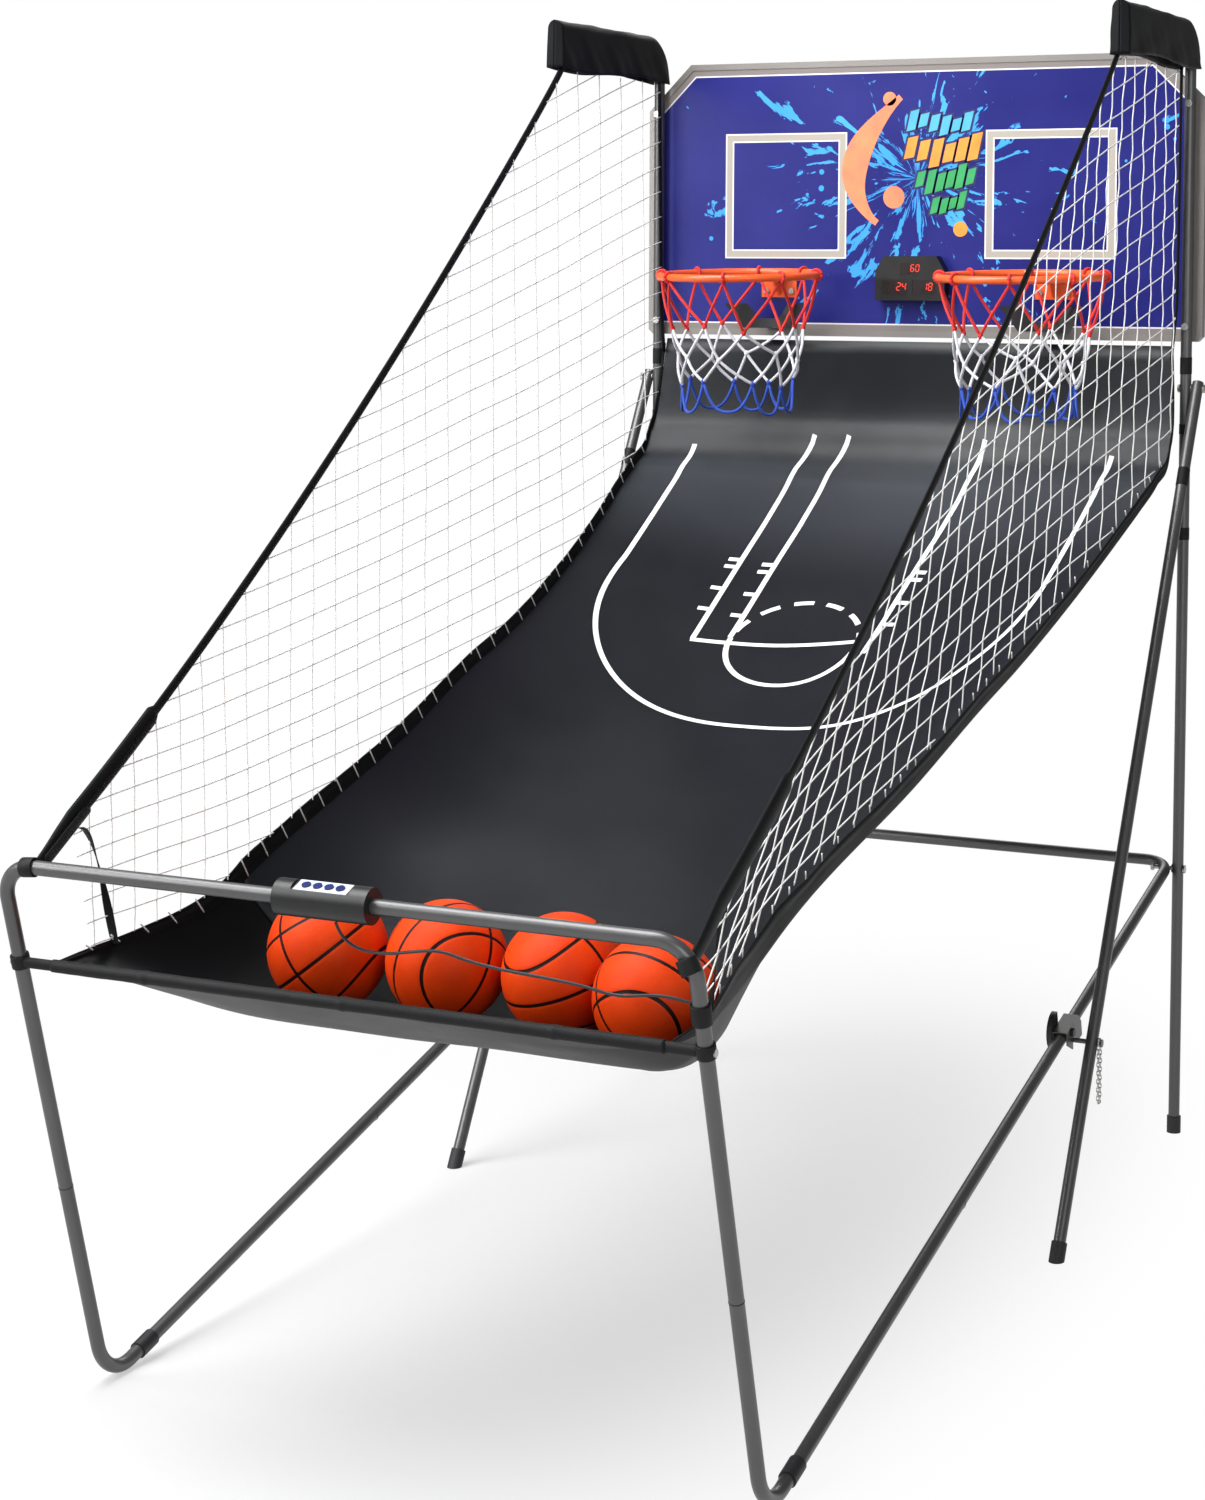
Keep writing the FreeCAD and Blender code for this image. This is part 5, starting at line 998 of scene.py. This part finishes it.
class HOOP_OT_sleeves(bpy.types.Operator):
    """Drape the cloth hoods over the two arms"""

    bl_idname = "hoop.sleeves"
    bl_label = "Arm sleeves"

    def execute(self, context):
        for side, sign in SIDES:
            self.hood(side, sign)
        return {"FINISHED"}

    def hood(self, side, sign):
        """A hood is an upside-down U carried along the arm: a half circle over the tube and two sides
        that hang to the hem, its top following the arm's bend, its front closed by the same section
        drawn together on itself."""
        low, high = box("arm_sleeves")
        front, back = low[1] + 0.002, high[1] - 0.003
        run = np.concatenate([np.full(6, front), np.linspace(front, back, 60)])[:, None]
        close = np.concatenate([np.linspace(0.02, 0.9, 6), np.ones(60)])[:, None]
        bend, bend_middle = 0.0725, POLE_Y - 0.060
        top = high[2] - 0.010 - bend + np.sqrt(bend ** 2 - np.clip(run - bend_middle, 0, 0.072) ** 2)
        around = np.linspace(-1, 1, 41)[None, :]
        arc = np.clip(around / 0.4, -1, 1) * np.pi / 2
        drop = np.clip((np.abs(around) - 0.4) / 0.6, 0, 1)
        radius = 0.0135
        x = radius * np.sin(arc) * close
        shoulder = top - radius * (1 - np.cos(arc)) * close
        hem = low[2] + 0.004 * np.sin(run * 17 + sign) + 0 * around
        z = shoulder + (np.minimum(hem, shoulder - 0.004) - shoulder) * drop
        fold = wobble(run, z, 0.0032, 0.035, sign) * drop * close
        x = x + np.sign(around) * (fold + 0.0025 * drop) * close
        y = run - 0.004 * (1 - close) + 0 * around + wobble(z, x, 0.0015, 0.05)
        z = z + wobble(run, x * 6, 0.0016, 0.05, 2.0) * (1 - drop)
        hood = new_piece(f"arm_hood_{side}", stacked(sign * POLE_X + x, y, z), grid_faces(*x.shape),
                         material("sleeve"), stacked(x + z, y))
        thicken(hood, 0.0012, 1)
        dress(hood, "rear_frame", "sleeve_cloth")
        if side == "left":
            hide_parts("arm_sleeves")


class HOOP_OT_hoop_nets(bpy.types.Operator):
    """Hang a red, white and blue cord net from each rim"""

    bl_idname = "hoop.hoop_nets"
    bl_label = "Hoop nets"

    def execute(self, context):
        for side, sign in SIDES:
            self.hang(side, sign)
        return {"FINISHED"}

    def node(self, sign, level, turn):
        """Knots of one level: a ring whose radius and height fall with the level, turned by a share of
        the loops' spacing, with a slight even unevenness."""
        depth = (0.0, 0.098, 0.150, 0.198, 0.250)[level]
        radius = (RIM_RADIUS, 0.1225, 0.113, 0.104, 0.100)[level]
        count = settings().hoop_loops
        angle = (np.arange(count) + turn) * 2 * np.pi / count + 0.18
        angle = angle + (0.04 + 0.06 * (level > 0)) * np.sin(angle * 3 + level * 2 + sign)
        tilt = math.radians(2.5) if level == 0 else 0.0
        x = sign * RIM_X + radius * np.cos(angle)
        y = RIM_Y + radius * np.sin(angle) * math.cos(tilt)
        z = RIM_Z - depth + radius * np.sin(angle) * math.sin(tilt) - (0.008 if level == 0 else 0)
        z = z + 0.007 * np.sin(angle * 3 + level * 2.3 + sign) * (level > 0)
        return stacked(x, y, z)

    def outward(self, sign, path):
        """The level direction from the rim's axis to each point."""
        return unit((path - np.array([sign * RIM_X, RIM_Y, 0])) * np.array([1, 1, 0]))

    def spans(self, sign, start, end, sag, bulge, steps=12, power=None):
        """Cords from knot to knot with a small bow outwards. Their sag follows the same sine, or for a
        deep U one less a power of the distance from the middle."""
        part = np.linspace(0, 1, steps)[None, :, None]
        path = start[:, None] + (end - start)[:, None] * part
        out = self.outward(sign, path)
        bow = np.sin(np.pi * part)
        fall = bow if power is None else 1 - np.abs(2 * part - 1) ** power
        return path + out * bow * bulge - np.array([0, 0, 1]) * fall * sag, out

    def hang(self, side, sign):
        """The net's spans level by level: red from rim to first knots, white diamonds, blue end loops."""
        rim, first, second, third = (self.node(sign, level, turn)
                                     for level, turn in enumerate((0.0, 0.5, 0.0, 0.5)))
        back = lambda knots: np.roll(knots, 1, axis=0)
        red = ((rim, first, 0.0, 0.004), (rim, back(first), 0.0, 0.004))
        white = ((first, second, 0.003, 0.003), (back(first), second, 0.003, 0.003),
                 (second, third, 0.003, 0.004), (second, back(third), 0.003, 0.004))
        blue = ((back(third), third, 0.053, 0.006, 18, 2.6),)
        for name, groups, knots in (("red", red, first), ("white", white, second), ("blue", blue, third)):
            paths, out = (np.concatenate(parts) for parts in
                          zip(*(self.spans(sign, *group) for group in groups)))
            shapes = [tubes(paths, settings().rope / 2, 8, out), self.knots(knots)]
            if name == "red":
                shapes.insert(1, self.rim_rings(sign, rim))
            piece = new_piece(f"hoop_cord_{name}_{side}", *joined(*shapes), material(name))
            dress(piece, "rear_frame", "hoop_net_cord", *([f"hoop_net_{side}"] if name == "white" else []))

    def knots(self, centres):
        """A squashed ball of cord at each knot."""
        theta = np.linspace(0.02, np.pi - 0.02, 7)[:, None]
        phi = np.linspace(0, 2 * np.pi, 10, endpoint=False)[None, :]
        one = stacked(np.sin(theta) * np.cos(phi), np.sin(theta) * np.sin(phi),
                      1.25 * np.cos(theta)).reshape(-1, 3)
        points = centres[:, None] + one[None] * settings().rope * 0.86
        faces = grid_faces(7, 10, close_columns=True)[:, ::-1]
        return points.reshape(-1, 3), copies(faces, len(centres), len(one))

    def rim_rings(self, sign, rim):
        """A turn of cord round the rim's rod at each loop."""
        out = self.outward(sign, rim)
        centre = rim + np.array([0, 0, 0.008])
        angle = np.linspace(0, 2 * np.pi, 21)[None, :, None]
        reach = 0.007 + settings().rope / 2
        path = (centre[:, None] + reach * (np.cos(angle) * out[:, None]
                                           + np.sin(angle) * np.array([0, 0, 1])))
        sideways = np.cross(out, np.array([0, 0, 1]))[:, None] + 0 * path
        return tubes(path, settings().rope / 2, 8, sideways)


class HOOP_OT_balls(bpy.types.Operator):
    """Put the four basketballs in the trough"""

    bl_idname = "hoop.balls"
    bl_label = "Basketballs"

    def execute(self, context):
        turns = ((0.35, 0.9, 0.3), (1.1, 0.2, -0.5), (-0.5, 1.2, 0.8), (0.8, -0.6, 1.4))
        for order, (centre, turn) in enumerate(zip(BALL_MIDDLES, turns), start=1):
            self.ball(order, centre, turn)
        return {"FINISHED"}

    def ball(self, order, centre, turn):
        """A sphere of latitude and longitude rings, drawn in along its seams: the two crossing rings
        where its own X or Z is nothing, and the ovals where X equals 0.52 plus 0.30 times Y squared."""
        theta = np.linspace(0, np.pi, 97)[:, None]
        phi = np.linspace(0, 2 * np.pi, 144, endpoint=False)[None, :]
        way = stacked(np.sin(theta) * np.cos(phi), np.sin(theta) * np.sin(phi), np.cos(theta))
        spin = np.array(Matrix.Rotation(turn[2], 3, "Z") @ Matrix.Rotation(turn[1], 3, "Y")
                        @ Matrix.Rotation(turn[0], 3, "X"))
        own = way @ spin
        x, y, z = np.abs(own[..., 0]), own[..., 1], np.abs(own[..., 2])
        nearest = np.minimum(np.minimum(x, z), np.abs(x - 0.52 - 0.30 * y ** 2))
        radius = BALL_RADIUS - 0.0008 - 0.0011 * np.exp(-(nearest / 0.022) ** 2)
        points = centre + way * radius[..., None]
        rows, columns = points.shape[:2]
        closed = lambda grid: np.concatenate([grid[1:-1].reshape(-1, 3), grid[[0, -1], 0]])
        faces = list(grid_faces(rows - 2, columns, close_columns=True)[:, ::-1])
        last, pole = (rows - 3) * columns, (rows - 2) * columns
        faces += [(pole, a, (a + 1) % columns) for a in range(columns)]
        faces += [(pole + 1, last + (a + 1) % columns, last + a) for a in range(columns)]
        piece = new_piece(f"basketball_{order}", closed(points), faces, material("ball"))
        attribute = piece.data.attributes.new("seam_place", "FLOAT_VECTOR", "POINT")
        attribute.data.foreach_set("vector", closed(own).astype(np.float32).ravel())
        dress(piece, f"loose_ball_{order}", "ball_rubber", f"ball_{order}")


class HOOP_OT_board_art(bpy.types.Operator):
    """Print the board's middle motif, the display's digits and their windows"""

    bl_idname = "hoop.board_art"
    bl_label = "Board art and digits"

    def execute(self, context):
        front = BOARD_LOW[1] - 0.0006
        self.motif(front)
        self.digits()
        return {"FINISHED"}

    def slab(self, outline, y, depth):
        """The points and faces of a thin flat shape: an outline in the board's plane, given a small depth
        towards the board."""
        outline = np.asarray(outline, dtype=float)
        order, count = np.arange(len(outline)), len(outline)
        near = stacked(outline[:, 0], y, outline[:, 1])
        after = (order + 1) % count
        rim = stacked(order, order + count, after + count, after)
        return np.concatenate([near, near + (0, depth, 0)]), [order, order[::-1] + count, *rim]

    def plate(self, name, outline, y, depth, finish):
        """One printed shape on the board or the display."""
        piece = new_piece(name, *self.slab(outline, y, depth), material(finish), smooth=False)
        return dress(piece, "rear_frame", "board_print")

    def oblong(self, x0, x1, z0, z1):
        """An oblong's corners."""
        return [(x0, z0), (x1, z0), (x1, z1), (x0, z1)]

    def motif(self, front):
        """A generic motif: three rows of slanted blocks of uneven height on dark backing, a coral sweep
        that curls up beside them, and discs."""
        rows = ((1.838, 0.034, 0.128, "print_cyan"), (1.787, 0.046, 0.150, "print_orange"),
                (1.733, 0.040, 0.118, "print_green"), (1.689, 0.030, 0.070, "print_green"))
        for order, (z, high, wide, finish) in enumerate(rows, start=1):
            count = 6 if wide > 0.1 else 4
            pitch = wide / count
            left = 0.042 - wide / 2 + 0.006 * order
            for block in range(count):
                x = left + pitch * (block + 0.5)
                tall = high * (1 + 0.22 * math.sin(2.3 * block + 1.7 * order))
                middle_z = z + 0.006 * math.sin(1.1 * block + order)
                for name, grow, y, tone in (("back", 0.004, front, "print_navy"),
                                            ("front", 0.0, front - 0.0004, finish)):
                    half_x, half_z = pitch * 0.40 + grow, tall / 2 + grow
                    slant = 0.20 * half_z
                    self.plate(f"printed_{name}_{order}_{block + 1}",
                               [(x - half_x - slant, middle_z - half_z),
                                (x + half_x - slant, middle_z - half_z + 0.004),
                                (x + half_x + slant, middle_z + half_z),
                                (x - half_x + slant, middle_z + half_z - 0.004)], y, 0.0006, tone)
        part = np.linspace(0, 1, 40)
        spine = stacked(-0.075 - 0.050 * np.sin(np.pi * part ** 0.8) + 0.045 * part ** 3,
                        1.652 + 0.235 * part)
        side = unit(stacked(-np.gradient(spine[:, 1]), np.gradient(spine[:, 0])))
        wide = (0.006 + 0.020 * np.sin(np.pi * part) ** 1.4)[:, None]
        self.plate("printed_sweep", np.concatenate([spine + side * wide, (spine - side * wide)[::-1]]),
                   front, 0.0005, "print_rose")
        angle = np.linspace(0, 2 * np.pi, 48, endpoint=False)
        discs = ((-0.052, 1.884, 0.013, "print_rose"), (-0.042, 1.700, 0.021, "print_rose"),
                 (0.090, 1.640, 0.014, "print_orange"))
        for order, (x, z, radius, finish) in enumerate(discs, start=1):
            ring = stacked(x + radius * np.cos(angle), z + radius * np.sin(angle))
            self.plate(f"printed_disc_{order}", ring, front, 0.0005, finish)

    def digits(self):
        """Seven-segment numbers in the display's windows: each segment is a thin slanted bar."""
        low, high = box("display_case")
        y = low[1] + 0.0004
        wide, tall = high[0] - low[0], high[2] - low[2]
        lit = {"0": "abcdef", "1": "bc", "2": "abged", "4": "fgbc", "6": "afgedc", "8": "abcdefg"}
        windows = ((0.370, 0.642, 0.590, 0.875), (0.136, 0.519, 0.143, 0.493), (0.550, 0.864, 0.143, 0.493))
        for order, (left, right, foot, head) in enumerate(windows, start=1):
            x0, x1, z0, z1 = (low[0] + wide * left, low[0] + wide * right, low[2] + tall * foot,
                              low[2] + tall * head)
            self.plate(f"window_pane_{order}", self.oblong(x0, x1, z0, z1), y, 0.0004, "pane")
            for bar in range(4):
                x = (x0 + x1) / 2 + (bar - 1.5) * 0.0036
                label = self.oblong(x - 0.0012, x + 0.0012, z1 + 0.0028, z1 + 0.0050)
                self.plate(f"window_label_{order}_{bar + 1}", label, y, 0.0004, "line")
        y = y - 0.0006
        places = ((low[0] + wide * 0.575, low[2] + tall * 0.730, 0.0125, "60"),
                  (low[0] + wide * 0.380, low[2] + tall * 0.315, 0.0135, "24"),
                  (low[0] + wide * 0.760, low[2] + tall * 0.315, 0.0135, "18"))
        for window, (x, z, height, text) in enumerate(places, start=1):
            outlines = []
            for order, digit in enumerate(text):
                left = x + (order - 1) * height * 0.78 + height * 0.14
                outlines += [self.segment(left, z, height, name) for name in lit[digit]]
            shapes = (self.slab(outline, y, 0.0005) for outline in outlines)
            piece = new_piece(f"window_digits_{window}", *joined(*shapes), material("led"), smooth=False)
            dress(piece, "rear_frame", "display_plastic")

    def segment(self, left, z, height, name):
        """One segment's corners: a bar along its own line of the figure of eight, a little slanted."""
        wide, thick = height * 0.5, height * 0.11
        ends = {"a": ((0, 1), (1, 1)), "b": ((1, 1), (1, 0.5)), "c": ((1, 0.5), (1, 0)),
                "d": ((0, 0), (1, 0)), "e": ((0, 0.5), (0, 0)), "f": ((0, 1), (0, 0.5)),
                "g": ((0, 0.5), (1, 0.5))}[name]
        start, end = (np.array([u * wide, (v - 0.5) * height]) for u, v in ends)
        along = unit(end - start)
        start, end = start + along * thick * 0.6, end - along * thick * 0.6
        side = np.array([-along[1], along[0]]) * thick / 2
        corners = np.array([start - side, end - side, end + side, start + side])
        return stacked(left + corners[:, 0] + corners[:, 1] * 0.12, z + corners[:, 1])


class HOOP_OT_chains(bpy.types.Operator):
    """Link up the fold locks' safety chains"""

    bl_idname = "hoop.chains"
    bl_label = "Lock chains"

    def execute(self, context):
        for side, _ in SIDES:
            self.chain(side, *box(f"lock_chain_{side}"))
        return {"FINISHED"}

    def chain(self, side, low, high):
        """Oval wire links set end to end round a tall loop: every second link turned a quarter. The loop
        runs down its near side, turns half a circle, comes up the far side and turns again. Its heading
        grows in the turns only, and gives the place across the loop as well as the direction."""
        wire, long_half, wide_half, edge = 0.0009, 0.0048, 0.0022, 0.0016
        x, y = (low[0] + high[0]) / 2, (low[1] + high[1]) / 2
        half = (high[1] - low[1]) / 2 - edge
        top, bottom = high[2] - edge - half, low[2] + edge + half
        straight, half_turn = top - bottom, np.pi * half
        length = 2 * (straight + half_turn)
        count = 2 * int(length / 0.0068 / 2)
        place = np.arange(count) * length / count
        fallen = np.clip(place, 0, straight) - np.clip(place - straight - half_turn, 0, straight)
        heading = (np.clip(place - straight, 0, half_turn)
                   + np.clip(place - 2 * straight - half_turn, 0, half_turn)) / half
        centre = stacked(x, y - half * np.cos(heading), top - fallen - half * np.sin(heading))
        along = stacked(0.0, np.sin(heading), -np.cos(heading))
        level = np.broadcast_to((1.0, 0.0, 0.0), along.shape)
        third = np.cross(along, level)
        odd = (np.arange(count) % 2)[:, None] == 1
        across, other = np.where(odd, level, third), np.where(odd, third, level)
        turn = np.linspace(0, 2 * np.pi, 17)[None, :, None]
        paths = (centre[:, None] + along[:, None] * np.cos(turn) * long_half
                 + across[:, None] * np.sin(turn) * wide_half)
        piece = bar_piece(f"chain_links_{side}", paths, wire, 6, other[:, None], "chain")
        dress(piece, f"chain_{side}", "chain_steel", f"lock_chain_{side}")


class HOOP_OT_stage(bpy.types.Operator):
    """Lay the pale floor and backdrop and hang the soft lights"""

    bl_idname = "hoop.stage"
    bl_label = "Stage"

    def execute(self, context):
        size = 14.0
        corners = [(-size, -size, 0), (size, -size, 0), (size, size, 0), (-size, size, 0)]
        floor = new_piece("floor", corners, [(0, 1, 2, 3)], self.floor_material(), smooth=False)
        floor.location.z = -0.0005
        self.world(context)
        self.lamp("key", (-3.6, -3.4, 3.2), (0, 0, 0.9), 2.8, 215)
        self.lamp("fill", (3.4, -4.6, 2.4), (0, 0, 0.9), 2.6, 85)
        self.lamp("top", (-1.4, -1.1, 4.8), (0, 0.9, 1.2), 3.0, 310)
        self.lamp("back", (-1.5, 5.2, 3.2), (0, 0, 1.2), 2.4, 60)
        context.scene.view_settings.view_transform = "Standard"
        return {"FINISHED"}

    def lamp(self, name, place, target, size, power):
        """A square soft box that looks at a target."""
        data = bpy.data.lights.new(name, "AREA")
        data.size = size
        data.energy = power
        lamp = bpy.data.objects.new(name, data)
        look = (Vector(target) - Vector(place)).to_track_quat("-Z", "Y").to_matrix().to_4x4()
        lamp.matrix_world = Matrix.Translation(place) @ look
        bpy.context.scene.collection.objects.link(lamp)

    def floor_material(self):
        """A seamless paper sweep: matt near-white, fading into the white backdrop with distance."""
        material, tree = new_material("seamless_paper", "#f4f4f4", 0.9)
        place = add_node(tree, "TexCoord", give="Object")
        grain = add_node(tree, "TexNoise", {"Vector": place, "Scale": 60.0})
        add_node(tree, "MixRGB", (grain, "#cccccc", "#d2d2d2"), to="Base Color")
        glow_white = add_node(tree, "Emission", {"Color": (1, 1, 1, 1), "Strength": 1.0})
        moved = add_node(tree, "VectorMath", (place, (0.35, 0.0, 0.0)), operation="ADD")
        stretched = add_node(tree, "VectorMath", (moved, (1.75, 0.75, 1.0)), operation="MULTIPLY")
        far = add_node(tree, "VectorMath", (stretched,), operation="LENGTH", give="Value")
        fade = add_node(tree, "MapRange", (far, 0.7, 1.9, 0.50, 1.0), interpolation_type="SMOOTHSTEP")
        factor = add_node(tree, "Math", (fade, self.seen(tree, "Glossy")), operation="MULTIPLY")
        matt = tree.nodes["Principled BSDF"].outputs[0]
        mix = add_node(tree, "MixShader", (factor, matt, glow_white))
        tree.links.new(mix, tree.nodes["Material Output"].inputs["Surface"])
        return material

    def seen(self, tree, other):
        """One on the camera's rays and on one other kind of ray, and nothing on the rest."""
        rays = add_node(tree, "LightPath").node.outputs
        return add_node(tree, "Math", (rays["Is Camera Ray"], rays[f"Is {other} Ray"]), operation="MAXIMUM")

    def world(self, context):
        """A white surround: full white to the camera and in reflections, softer as a light."""
        world = bpy.data.worlds.new("studio")
        world.use_nodes = True
        context.scene.world = world
        tree = world.node_tree
        strength = add_node(tree, "MapRange", (self.seen(tree, "Transmission"), 0.0, 1.0, 0.24, 1.0))
        surface = tree.nodes["Background"]
        surface.inputs["Color"].default_value = (1, 1, 1, 1)
        tree.links.new(strength, surface.inputs["Strength"])


class HOOP_PT_machine(bpy.types.Panel):
    """Lists the steps that build the machine's looks"""

    bl_idname = "HOOP_PT_machine"
    bl_label = "Hoop Machine"
    bl_space_type = "VIEW_3D"
    bl_region_type = "UI"
    bl_category = "Hoop Machine"

    def draw(self, context):
        for operator in OPERATORS:
            self.layout.operator(operator.bl_idname)
        values = context.scene.hoop_machine
        for name in MachineSettings.__annotations__:
            self.layout.prop(values, name)


OPERATORS = (HOOP_OT_finishes, HOOP_OT_camera, HOOP_OT_cable, HOOP_OT_ramp, HOOP_OT_trough,
             HOOP_OT_side_nets, HOOP_OT_sleeves, HOOP_OT_hoop_nets, HOOP_OT_balls, HOOP_OT_board_art,
             HOOP_OT_chains, HOOP_OT_stage)
CLASSES = (MachineSettings, *OPERATORS, HOOP_PT_machine)


def register():
    """Adds the classes and the scene's settings."""
    for item in CLASSES:
        bpy.utils.register_class(item)
    bpy.types.Scene.hoop_machine = PointerProperty(type=MachineSettings)


def unregister():
    """Takes the classes and the settings away again."""
    del bpy.types.Scene.hoop_machine
    for item in reversed(CLASSES):
        bpy.utils.unregister_class(item)


def main():
    """Builds everything in order."""
    register()
    for operator in OPERATORS:
        group, name = operator.bl_idname.split(".")
        getattr(getattr(bpy.ops, group), name)()


if __name__ == "__main__":
    main()
